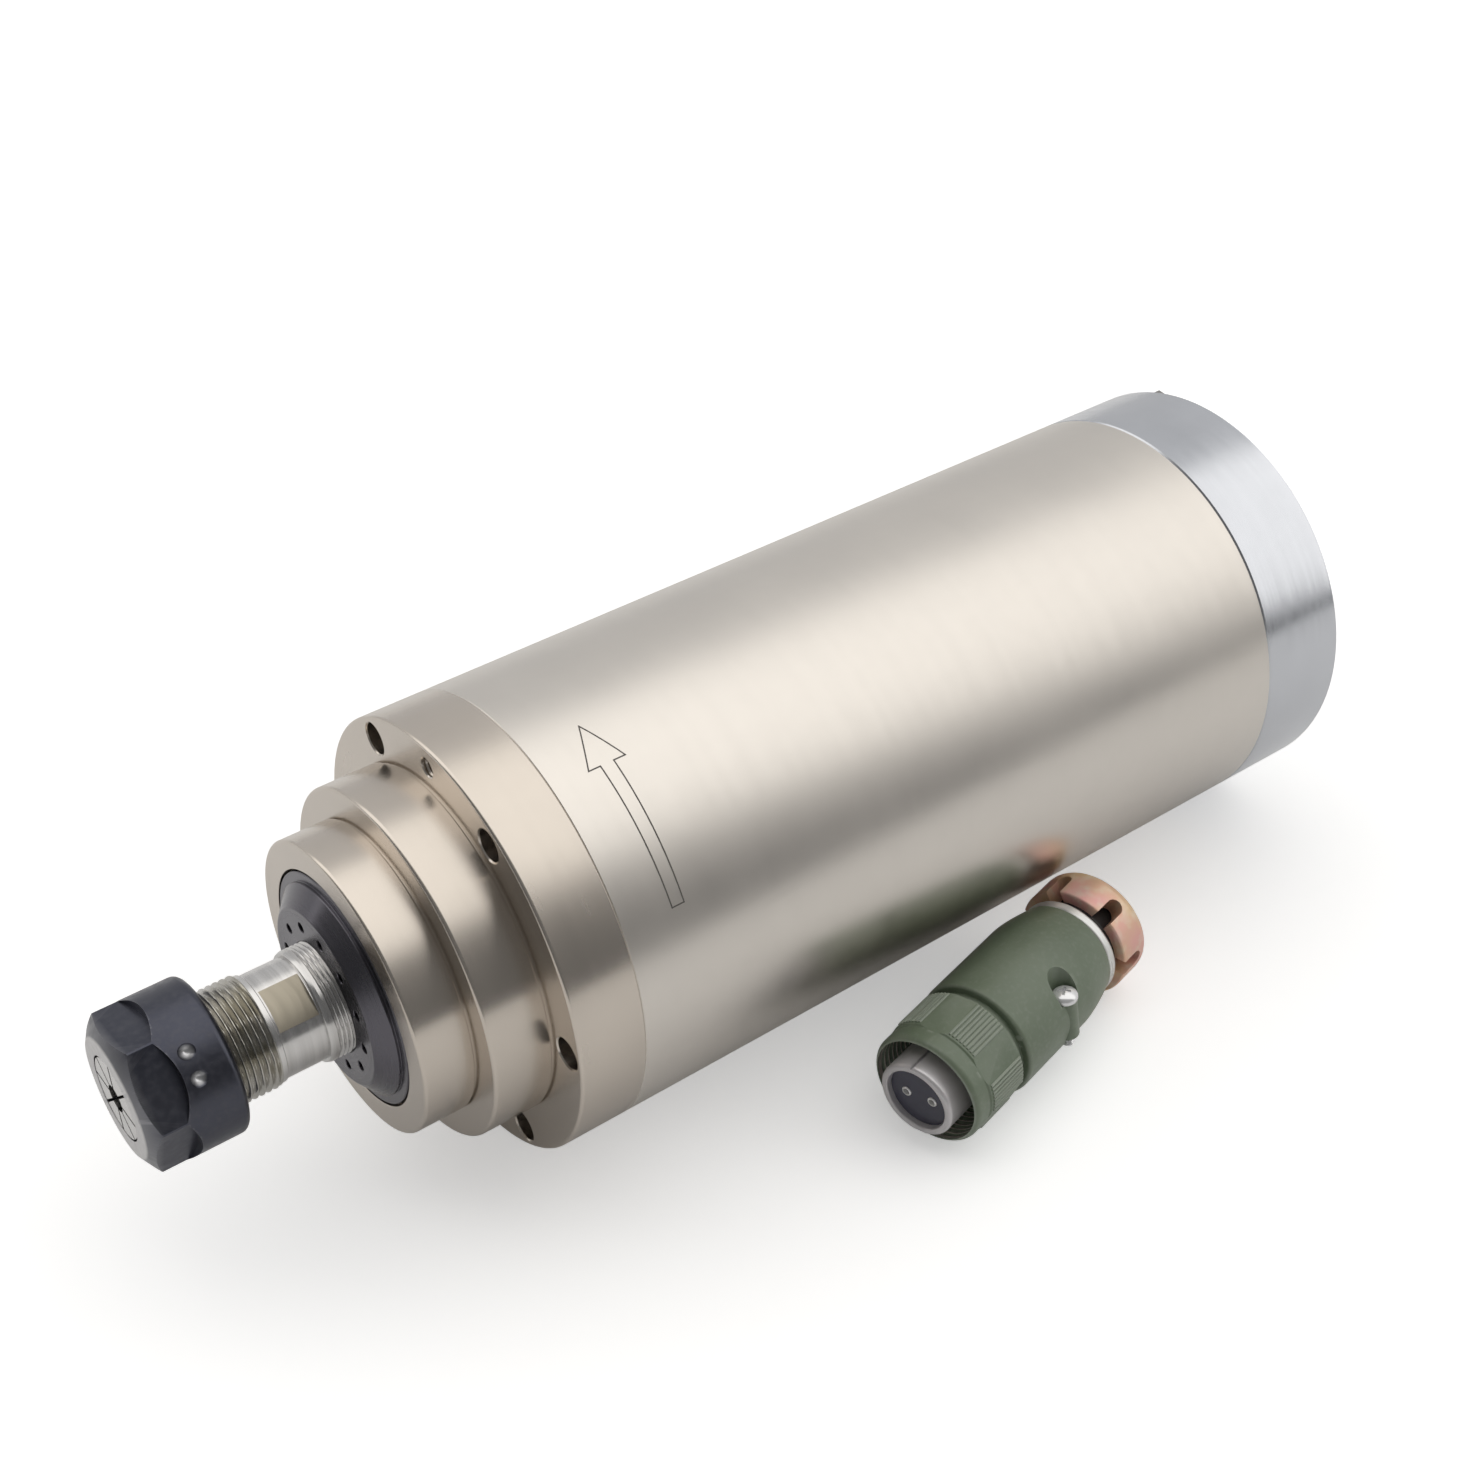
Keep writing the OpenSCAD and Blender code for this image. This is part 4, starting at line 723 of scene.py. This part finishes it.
def start_growth(name, sizes):
    """A new Geometry Nodes tree with named inputs, with its helper and its input sockets."""
    group = bpy.data.node_groups.new(name, "GeometryNodeTree")
    group.interface.new_socket("Geometry", in_out="INPUT", socket_type="NodeSocketGeometry")
    for label, kind in sizes.items():
        group.interface.new_socket(label, in_out="INPUT", socket_type="NodeSocket" + kind)
    group.interface.new_socket("Geometry", in_out="OUTPUT", socket_type="NodeSocketGeometry")
    tree = Tree(group)
    return group, tree, tree.add("NodeGroupInput").outputs


def end_growth(group, tree, geometry, material):
    """Real geometry with its material, as the last steps of a tree."""
    real = tree.add("GeometryNodeRealizeInstances", {"Geometry": geometry})
    shown = tree.add("GeometryNodeSetMaterial", {"Geometry": real.outputs[0], "Material": material})
    tree.add("NodeGroupOutput", {"Geometry": shown.outputs[0]})
    return group


def copies_tree():
    """Copies of a shape on a circle round X, each turned with its place."""
    group, tree, sizes = start_growth("copies_round_axis", {
        "Count": "Int", "First": "Float", "Step": "Float", "Radius": "Float", "Material": "Material",
    })
    index = tree.add("GeometryNodeInputIndex").outputs[0]
    angle = tree.math("ADD", tree.math("MULTIPLY", index, sizes["Step"]), sizes["First"])
    across = tree.math("MULTIPLY", tree.math("COSINE", angle), sizes["Radius"])
    above = tree.math("MULTIPLY", tree.math("SINE", angle), sizes["Radius"])
    spot = tree.add("ShaderNodeCombineXYZ", {"Y": across, "Z": above})
    turn = tree.add("ShaderNodeCombineXYZ", {"X": angle})
    points = tree.add("GeometryNodePoints", {"Count": sizes["Count"], "Position": spot.outputs[0]})
    copies = tree.add("GeometryNodeInstanceOnPoints", {
        "Points": points.outputs[0], "Instance": sizes["Geometry"], "Rotation": turn.outputs[0],
    })
    return end_growth(group, tree, copies.outputs[0], sizes["Material"])


def thread_tree():
    """A thread pressed into the turned skin of a piece, between two places along X and two radii."""
    group, tree, sizes = start_growth("thread", {
        "Start": "Float", "End": "Float", "Pitch": "Float", "Depth": "Float", "Fade": "Float",
        "Lowest": "Float", "Highest": "Float", "Material": "Material",
    })
    place = tree.add("GeometryNodeInputPosition").outputs[0]
    parts = tree.add("ShaderNodeSeparateXYZ", {"Vector": place}).outputs
    across = tree.add("ShaderNodeCombineXYZ", {"Y": parts["Y"], "Z": parts["Z"]}).outputs[0]
    radius = tree.vector("LENGTH", across).outputs["Value"]
    turns = tree.math("MULTIPLY", tree.math("ARCTAN2", parts["Z"], parts["Y"]), 1 / math.tau)
    phase = tree.math("SUBTRACT", tree.math("DIVIDE", parts["X"], sizes["Pitch"]), turns)
    wave = tree.math("PINGPONG", phase, 0.5)
    groove = tree.math("MULTIPLY_ADD", wave, GROOVE_SLOPE, GROOVE_DROP, clamp=True)
    enters = tree.math("DIVIDE", tree.math("SUBTRACT", parts["X"], sizes["Start"]), sizes["Fade"], clamp=True)
    leaves = tree.math("DIVIDE", tree.math("SUBTRACT", sizes["End"], parts["X"]), sizes["Fade"], clamp=True)
    above = tree.math("GREATER_THAN", radius, sizes["Lowest"])
    below = tree.math("LESS_THAN", radius, sizes["Highest"])
    reach = tree.math("MULTIPLY", tree.math("MINIMUM", enters, leaves), tree.math("MULTIPLY", above, below))
    depth = tree.math("MULTIPLY", tree.math("MULTIPLY", groove, sizes["Depth"]), reach)
    share = tree.math("DIVIDE", depth, tree.math("MAXIMUM", radius, MM))
    shift = tree.add("ShaderNodeVectorMath", {"Vector": across}, operation="SCALE")
    tree.put(shift.inputs["Scale"], tree.math("MULTIPLY", share, -1.0))
    pressed = tree.add("GeometryNodeSetPosition", {"Geometry": sizes["Geometry"], "Offset": shift.outputs[0]})
    return end_growth(group, tree, pressed.outputs[0], sizes["Material"])


def grow(piece, group, sizes):
    """Runs a tree on a piece, with its inputs set by their identifiers, and keeps the plain mesh."""
    modifier = piece.modifiers.new(group.name, "NODES")
    modifier.node_group = group
    for socket in group.interface.items_tree:
        if socket.in_out == "INPUT" and socket.name in sizes:
            modifier[socket.identifier] = sizes[socket.name]
    return settle(piece)


def copied(piece, count, first, step, radius=0.0):
    """A piece copied round the axis, from a first angle in steps of degrees."""
    return grow(piece, copies, {
        "Count": count, "First": math.radians(first), "Step": math.radians(step), "Radius": radius * MM,
    })


def threaded(piece, start, end, pitch, depth, lowest, highest, fade=1.2):
    """A piece with a thread in its skin, where a depth below nought presses outward, as in a bore."""
    return grow(piece, threads, {
        "Start": start * MM, "End": end * MM, "Pitch": pitch * MM, "Depth": depth * MM, "Fade": fade * MM,
        "Lowest": lowest * MM, "Highest": highest * MM,
    })


copies = copies_tree()
threads = thread_tree()

# Housing


def front_flange():
    """The flange with its boss, six sunk screw holes and two threaded jacking holes."""
    seat_r, seat_x = 23.5, 14
    cover_r = 28
    spigot_r, spigot_end = 41.45, 26
    bore_r = 17.5
    foot = 0.5
    flange = lathe("flange_and_boss", [
        (BOSS_X, cover_r, 0), (BOSS_X, BOSS_R, 0.8), (-foot, BOSS_R, 0.3), (-foot, BOSS_R - foot, 0),
        (0, BOSS_R - foot, 0), (0, BODY_R, 0.7), (BARREL_X, BODY_R, 0.12), (BARREL_X, spigot_r, 0),
        (spigot_end, spigot_r, 0), (spigot_end, bore_r, 0), (seat_x, bore_r, 0), (seat_x, seat_r, 0),
        (COVER_SPIGOT_X, seat_r, 0), (COVER_SPIGOT_X, cover_r, 0),
    ], FINE_ROUND)
    head_r, screw_r = 3.6, 2.05
    sink = lathe("sink", [
        (-1, 0, 0), (-1, 4.9, 0), (0.3, head_r, 0), (10, head_r, 0), (10, screw_r, 0),
        (16, screw_r, 0), (16, 0, 0),
    ], SMALL_ROUND)
    tap_r, tap_end, tap_pitch = 2.15, 9, 0.8
    tap = [
        (-1, 0, 0), (-1, 3.4, 0), (0.25, tap_r, 0), *stretch(0.25, tap_end, tap_r, tap_pitch),
        (tap_end, tap_r, 0), (10.2, 0, 0),
    ]
    jack = threaded(lathe("jack", tap, SMALL_ROUND), 0.3, tap_end, tap_pitch, -0.3, 2.0, 2.3, 0.3)
    cut(flange, copied(sink, 6, SCREW_ANGLE, 60, SCREW_R), copied(jack, 2, JACK_ANGLE, 180, SCREW_R))
    finish_piece(flange, "flange_nickel", "housing", ["front_flange"])


def front_cover():
    """The smaller ring in front of the boss, with a groove at its foot and a pocket for the dust cap."""
    pocket_r, pocket_x = 26.9, -22
    spigot_r, seat_r, shaft_r = 27.95, 23.55, 16.5
    groove_x, groove_r = -14.45, 32.7
    shoulder_x = -12
    cover = lathe("cover_ring", [
        (COVER_X, pocket_r, 0.12), (COVER_X, COVER_R, 0.7), (groove_x, COVER_R, 0.28),
        (groove_x, groove_r, 0), (BOSS_X, groove_r, 0), (BOSS_X, spigot_r, 0),
        (COVER_SPIGOT_X, spigot_r, 0), (COVER_SPIGOT_X, seat_r, 0), (shoulder_x, seat_r, 0),
        (shoulder_x, shaft_r, 0), (pocket_x, shaft_r, 0), (pocket_x, pocket_r, 0),
    ], FINE_ROUND)
    finish_piece(cover, "flange_nickel", "housing", ["front_cover"])


def dust_cap():
    """The black cap that turns with the shaft, with its twelve pin-wrench holes."""
    face_x, bore_r, slope_r, rim_r, hub_r = -30, 12.55, 24.2, 26.4, 15.5
    back_x, hub_end = -22.5, -12
    cap = lathe("cap_disc", [
        (face_x, bore_r, 0.2), (face_x, 20, 0.4), (-26.7, slope_r, 0.25), (COVER_X, slope_r, 0.1),
        (COVER_X, rim_r, 0.3), (back_x, rim_r, 0), (back_x, hub_r, 0), (hub_end, hub_r, 0),
        (hub_end, bore_r, 0),
    ])
    pin_r, pin_circle = 1.15, 16
    pin = lathe("pin", [
        (-31, 0, 0), (-31, 2.3, 0), (-29.85, pin_r, 0), (-27, pin_r, 0), (-27, 0, 0),
    ], PIN_ROUND)
    cut(cap, copied(pin, 12, 6, 30, pin_circle))
    finish_piece(cap, "cap_black", "rotor", ["dust_cap"])


def cap_screws():
    """Socket head screws, copied round the flange and, turned to face the rear, round the rear cap."""
    head_r, head_high, screw_r, screw_end, key = 3.4, 4, 2, 14, 3
    rear = Matrix.Rotation(math.pi, 4, "Z")
    for name, first, seat, turn, node in (
        ("flange_screws", SCREW_ANGLE, 10, NO_PLACE, "front_screws"),
        ("rear_cap_screws", REAR_SCREW_ANGLE, 214, rear, "rear_screws"),
    ):
        screw = lathe(name, [
            (-head_high, 0, 0), (-head_high, head_r, 0.35), (0, head_r, 0), (0, screw_r, 0),
            (screw_end - 0.4, screw_r, 0), (screw_end, screw_r - 0.4, 0), (screw_end, 0, 0),
        ], SMALL_ROUND)
        cut(screw, prism("key", key, -5, -2))
        placed(screw, turn)
        placed(screw, Matrix.Translation((seat * MM, 0, 0)))
        copied(screw, 6, first, 60, SCREW_R)
        finish_piece(screw, "screw_steel", "housing", [node])


def arrow_line():
    """The arrow's closed outline: pairs of a spot and its sideways step, mitred at the corners."""
    right = [Vector(spot) for spot in ARROW_SIDE]
    left = [Vector((-x, y)) for x, y in ARROW_SIDE[::-1]]
    corners = [Vector((0, 0)), *right, *left]
    line = []
    for k, corner in enumerate(corners):
        before = (corner - corners[k - 1]).normalized()
        ahead = corners[(k + 1) % len(corners)] - corner
        after = ahead.normalized()
        mitre = (before.orthogonal() + after.orthogonal()) / (1 + before.dot(after))
        line.append((corner, mitre))
        steps = math.ceil(ahead.length)
        line += [(corner + ahead * step / steps, after.orthogonal()) for step in range(1, steps)]
    return line


def direction_arrow():
    """The outline of a plain arrow, marked on the barrel as a thin closed line that follows its curve."""
    section = ((1, ARROW_TOP_R), (-1, ARROW_TOP_R), (-1, ARROW_FOOT_R), (1, ARROW_FOOT_R))
    mesh = bmesh.new()
    rings = []
    for spot, side in arrow_line():
        ring = []
        for reach, radius in section:
            x, down = spot + side * reach * ARROW_LINE
            angle = math.radians(ARROW_TIP) + down / BODY_R
            point = Vector((ARROW_X + x, radius * math.cos(angle), radius * math.sin(angle))) * MM
            ring.append(mesh.verts.new(point))
        rings.append(ring)
    for first, second in zip([rings[-1]] + rings, rings):
        for k in range(4):
            mesh.faces.new((first[k], first[(k + 1) % 4], second[(k + 1) % 4], second[k]))
    bmesh.ops.recalc_face_normals(mesh, faces=mesh.faces)
    finish_piece(add_mesh("direction_arrow", mesh), "engraved_mark", "housing")


# Nose


def nose_shaft():
    """The shaft with its tapered seat, nose thread, relief, wrench flats and the thread of the cap."""
    bore_r, nose_x = 4, -68
    relief_r, neck_r, collar_r = 11.9, 11.5, 12.5
    shoulder_r, rotor_r, rear_r, tail_r = 15.5, 14.5, 11, 8.5
    shaft = lathe("nose_shaft", [
        (22, 0, 0), (22, bore_r, 0), (-43, bore_r, 0), (-43, 6.87, 0), (nose_x, 10.385, 0),
        (nose_x, 11.7, 0.1), (-67.3, NOSE_R, 0), *stretch(-67.3, -46.4, NOSE_R, NOSE_PITCH),
        (-46, NOSE_R, 0.2), (-46, relief_r, 0), (-44.7, relief_r, 0.2), (-44.7, neck_r, 0),
        (-35.3, neck_r, 0), (-35.3, 12.2, 0.2), (-34.4, collar_r, 0), *stretch(-34.4, -28, collar_r, 1),
        (14, collar_r, 0), (14, shoulder_r, 0), (44, shoulder_r, 0), (44, rotor_r, 0), (152, rotor_r, 0),
        (152, rear_r, 0), (172, rear_r, 0), (172, tail_r, 0), (202, tail_r, 0), (202.8, tail_r - 0.8, 0),
        (202.8, 0, 0),
    ], SHAFT_ROUND)
    threaded(shaft, nose_x, -45.6, NOSE_PITCH, 0.75, 12.1, 12.45)
    threaded(shaft, -33.6, -28, 1.0, 0.5, 12.3, 12.55, 0.3)
    flat = block("flat", (FLAT_START, FLAT_DEEP, -8), (FLAT_END, 14, 8))
    cut(shaft, copied(flat, 2, FLAT_ANGLE, 180))
    finish_piece(shaft, "shaft_steel", "rotor", ["shaft"])


def collet_nut():
    """The nut: a turned body, six flats milled from its face with round ends, two pairs of wrench dimples."""
    mouth_r, face_r, thread_r = 9.25, 13, 12.45
    groove_r, lip_r = 11.65, 10.6
    nut = lathe("nut_body", [
        (NUT_FACE_X, mouth_r, 0.1), (NUT_FACE_X, face_r, 0.25), (NUT_CONE_X, NUT_R, 0.3),
        *skin(-73.2, -57.3, NUT_R, 0.6), (NUT_BACK_X, NUT_R, 1.6), (NUT_BACK_X, thread_r, 0.3),
        (-70.6, thread_r, 0), (-70.6, groove_r, 0), (-72.6, groove_r, 0), (-72.6, lip_r, 0),
        (-73.85, lip_r, 0),
    ], FINE_ROUND)
    mill_low, mill_high = 15, 20
    mill = lathe("mill", [
        (mill_low, 0, 0), (mill_low, FLAT_MILL_R, 0), (mill_high, FLAT_MILL_R, 0), (mill_high, 0, 0),
    ], MILL_ROUND)
    placed(mill, Matrix.Translation((FLAT_MILL_X * MM, 0, 0)) @ TURN_TO_Y)
    dimple = lathe("dimple", [
        (15.9, 0, 0), (16.0, 0.45, 0), (16.2, 0.8, 0), (18, 2.65, 0), (18, 0, 0),
    ], DOME_ROUND)
    placed(dimple, Matrix.Translation((DIMPLE_X * MM, 0, 0)) @ TURN_TO_Y)
    copied(dimple, 2, 126, 19)
    cut(nut, copied(mill, 6, NUT_FLAT_ANGLE, 60), copied(dimple, 2, 0, 180))
    finish_piece(nut, "black_oxide", "nut_body", ["collet_nut"], sharp=22)


# Cable plug, each piece in the plug's own frame


def coupling_ring():
    """The coupling ring: a round lip, six flats between raised pads, an inner thread; the ribs on the pads
    are a piece of their own.
    """
    turns = [math.radians(angle) for angle in (22, 33, 45, 57, 70, 82)]
    lip = [(RING_ROUND * (1 - math.cos(a)), RING_COLLAR_R - RING_ROUND * (1 - math.sin(a)), 0) for a in turns]
    thread_end, mouth_r = 14.6, 9.7
    ring = lathe("coupling_ring", [
        *lip, (RING_ROUND, RING_COLLAR_R, 0), *skin(1.7, 4.2, RING_COLLAR_R, 0.5), (4.7, RING_COLLAR_R, 0.3),
        (5.1, RING_PAD_R, 0.2), *skin(5.5, 16.6, RING_PAD_R, 0.5), (RING_END_X, RING_PAD_R, 0.4),
        (RING_END_X, mouth_r, 0.2), (thread_end, mouth_r, 0), (thread_end, RING_BORE_R, 0),
        *stretch(thread_end, 0.8, RING_BORE_R, PLUG_PITCH),
    ])
    threaded(ring, 0.9, 14, PLUG_PITCH, -0.55, 12.8, 13.0)
    flat = block("flat", (4.4, RING_FLAT, -12), (20, 18, 12))
    cut(ring, copied(flat, 6, 30, 60))
    finish_piece(ring, "ring_paint", "plug_ring_body", ["plug_ring"], PLUG_PLACE, sharp=20)


def ring_ribs():
    """Eight fine ribs on each of the coupling ring's six pads."""
    rib_r, start, stop = 0.4, 5.6, 16.7
    count, first, spread, circle = 8, -13.65, 3.9, 14.2
    rib = lathe("ring_ribs", [
        (start, 0, 0), (start, rib_r, 0.16), (stop, rib_r, 0.16), (stop, 0, 0),
    ], RIB_ROUND)
    copied(rib, count, first, spread, circle)
    copied(rib, 6, 0, 60)
    finish_piece(rib, "green_paint", "plug_ring_body", place=PLUG_PLACE, sharp=40)


def plug_insert():
    """The sleeve round the insulator, with its locating collar, its key slot and the notch across from it."""
    collar_r, collar_start, collar_end = 12.4, 12.2, 14.2
    insert_end, slot_end = 23.4, 6.4
    insert = lathe("insert_sleeve", [
        (INSERT_X, INSERT_BORE_R, 0.35), (INSERT_X, INSERT_R, 0.8), (collar_start, INSERT_R, 0),
        (collar_start, collar_r, 0.2), (collar_end, collar_r, 0.2), (collar_end, INSERT_R, 0),
        (insert_end, INSERT_R, 0), (insert_end, INSERT_BORE_R, 0),
    ])
    key = block("key", (-5, -0.35, 8.5), (slot_end, 0.35, 10))
    notch = block("notch", (-5, -1.2, -10), (slot_end, 1.2, -8.7))
    cut(insert, key, notch)
    finish_piece(insert, "die_cast_grey", "plug_body", ["plug_insert"], PLUG_PLACE)


def plug_contacts():
    """Two hollow contacts with a rounded mouth."""
    mouth_x, bore_end, end_x = -2.3, 20.4, 26.4
    contact = lathe("hollow_contacts", [
        (mouth_x, CONTACT_BORE_R, 0.05), (mouth_x, CONTACT_R, 0.3), (end_x, CONTACT_R, 0), (end_x, 0, 0),
        (bore_end, 0, 0), (bore_end, CONTACT_BORE_R, 0),
    ], SMALL_ROUND)
    copied(contact, 2, 0, 180, CONTACT_SIDE)
    finish_piece(contact, "contact_plate", "plug_body", ["plug_contacts"], PLUG_PLACE)


def back_shell():
    """The plug's back shell with the boss that holds the clamping screw, and the scoop over its head."""
    front_x, step_x, front_r, insert_r = 17.6, 19.4, 12.5, 9.35
    boss_r, scoop_r, hole_r = 2.8, 3.5, 1.55
    taper = [
        (TAPER_X + TAPER_LENGTH * k / TAPER_STEPS, PLUG_R - TAPER_DEEP * (k / TAPER_STEPS) ** 1.5, 0)
        for k in range(TAPER_STEPS)
    ]
    shell = lathe("back_shell", [
        (front_x, insert_r, 0), (front_x, front_r, 0), (step_x, front_r, 0.2), (step_x, PLUG_R, 0.8),
        *skin(20.5, TAPER_X, PLUG_R), *taper, (SHELL_END_X, BAND_R, 0.2), (SHELL_END_X, BAND_R - 2, 0),
        (46, SHELL_BORE, 0), (24.4, SHELL_BORE, 0), (24.4, insert_r, 0),
    ])
    boss = lathe("boss", [
        (BOSS_FOOT, 0, 0), (BOSS_FOOT, boss_r, 0.4), (BOSS_TOP, boss_r, 0.15), (BOSS_TOP, 0, 0),
    ], DOME_ROUND)
    combine(shell, placed(boss, SCREW_BOSS), "UNION")
    scoop = lathe("scoop", [
        (BOSS_TOP, 0, 0), (BOSS_TOP, scoop_r, 0.3), (16, scoop_r, 0), (16, 0, 0),
    ], DOME_ROUND)
    hole = lathe("hole", [(-15, 0, 0), (-15, hole_r, 0), (15, hole_r, 0), (15, 0, 0)], HOLE_ROUND)
    cut(shell, placed(scoop, SCREW_BOSS), placed(hole, SCREW_BOSS))
    finish_piece(shell, "green_paint", "plug_body", ["plug_shell"], PLUG_PLACE, sharp=26)


def clamping_screw():
    """The bright screw across the shell: a domed head with a cross, and a tip that stands out below."""
    tip_x, shank_x, dome_x, dome_high = -8.4, -8.1, 5.4, 1.6
    turns = [math.radians(angle) for angle in range(0, 90, 9)]
    dome = [(dome_x + dome_high * math.sin(a), CLAMP_HEAD_R * math.cos(a), 0) for a in turns]
    screw = lathe("clamping_screw", [
        (tip_x, 0, 0), (tip_x, 1.2, 0), (shank_x, CLAMP_SCREW_R, 0),
        *stretch(shank_x, BOSS_FOOT, CLAMP_SCREW_R, 0.5), (BOSS_TOP, CLAMP_SCREW_R, 0),
        (BOSS_TOP, 2.9, 0.1), (4.9, CLAMP_HEAD_R, 0), *dome, (dome_x + dome_high, 0, 0),
    ], DOME_ROUND)
    threaded(screw, -8.2, -5.2, 0.5, 0.22, 1.4, 1.55, 0.4)
    for turn in (25, 115):
        slot = block("slot", (6.1, -0.32, -1.5), (8, 0.32, 1.5))
        cut(screw, placed(slot, Matrix.Rotation(math.radians(turn), 4, "X")))
    finish_piece(screw, "screw_bright", "plug_body", ["plug_screw"], PLUG_PLACE @ SCREW_BOSS)


def rear_band():
    """The bright band behind the back shell."""
    inner_r = BAND_R - 2
    band = lathe("bright_band", [
        (SHELL_END_X, inner_r, 0), (SHELL_END_X, BAND_R, 0.5), (BAND_END_X, BAND_R, 0.7),
        (BAND_END_X, inner_r, 0),
    ])
    finish_piece(band, "bright_band", "plug_body", ["plug_band"], PLUG_PLACE)


def cable_clamp():
    """The plated cable clamp with its six U-shaped notches."""
    bore_r, cable_r, wall_x = 9.3, 4.5, 68
    low, high = 8.2, 16
    clamp = lathe("cable_clamp", [
        (CLAMP_X, bore_r, 0), (CLAMP_X, CLAMP_R, 0.4), *skin(60.4, 66.8, CLAMP_R, 0.5),
        (CLAMP_END_X, CLAMP_R, 2.4), (CLAMP_END_X, cable_r, 0.3), (wall_x, cable_r, 0), (wall_x, bore_r, 0),
    ])
    slot = block("slot", (CLAMP_X - 1, low, -NOTCH_HALF), (NOTCH_END_X, high, NOTCH_HALF))
    mouth = lathe("mouth", [
        (low, 0, 0), (low, NOTCH_HALF, 0), (high, NOTCH_HALF, 0), (high, 0, 0),
    ], DOME_ROUND)
    placed(mouth, Matrix.Translation((NOTCH_END_X * MM, 0, 0)) @ TURN_TO_Y)
    cut(clamp, copied(slot, 6, NOTCH_ANGLE, 60), copied(mouth, 6, NOTCH_ANGLE, 60))
    finish_piece(clamp, "clamp_zinc", "plug_body", ["plug_clamp"], PLUG_PLACE, sharp=26)


# Finishes for the CAD nodes

NODES_OF = {
    "flange_nickel": ["front_flange", "front_cover"],
    "cap_black": ["dust_cap"],
    "barrel_nickel": ["barrel"],
    "jacket_aluminium": ["water_jacket", "rear_seat", "bearing_plate", "rotor_end_rings"],
    "seal_rubber": ["seal_rings", "plug_gasket"],
    "cap_aluminium": ["rear_cap"],
    "screw_steel": ["front_screws", "rear_screws", "plate_screws", "earth_screw"],
    "core_steel": ["stator_core", "rotor_core"],
    "winding_copper": ["stator_windings"],
    "lead_red": ["motor_leads"],
    "bearing_steel": [
        "front_outer_rings", "front_inner_rings", "front_balls", "rear_outer_rings", "rear_inner_rings",
        "rear_balls", "outer_spacers", "inner_spacers", "bearing_nut", "extractor_ring",
    ],
    "cage_brass": ["front_cages", "rear_cages"],
    "spring_steel": ["preload_spring"],
    "shaft_steel": ["shaft"],
    "collet_steel": ["collet"],
    "black_oxide": ["collet_nut"],
    "fitting_nickel": ["hose_fittings", "plug_band", "earth_washer"],
    "green_paint": ["socket_shell", "plug_ring", "plug_shell"],
    "insulator_black": ["socket_insulator", "plug_insulator"],
    "contact_plate": ["socket_pins", "plug_contacts"],
    "screw_bright": ["socket_screws", "plug_screw"],
    "die_cast_grey": ["plug_insert"],
    "clamp_zinc": ["plug_clamp"],
}


def finish_nodes():
    """Gives every node of the source its finish."""
    for finish, names in NODES_OF.items():
        for name in names:
            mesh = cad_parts[name].data
            mesh.materials.clear()
            mesh.materials.append(materials[finish])


add_camera()
light_world()
add_floor()
finish_nodes()
front_flange()
front_cover()
dust_cap()
cap_screws()
direction_arrow()
nose_shaft()
collet_nut()
coupling_ring()
ring_ribs()
plug_insert()
plug_contacts()
back_shell()
clamping_screw()
rear_band()
cable_clamp()
bpy.context.scene.view_settings.view_transform = "Standard"
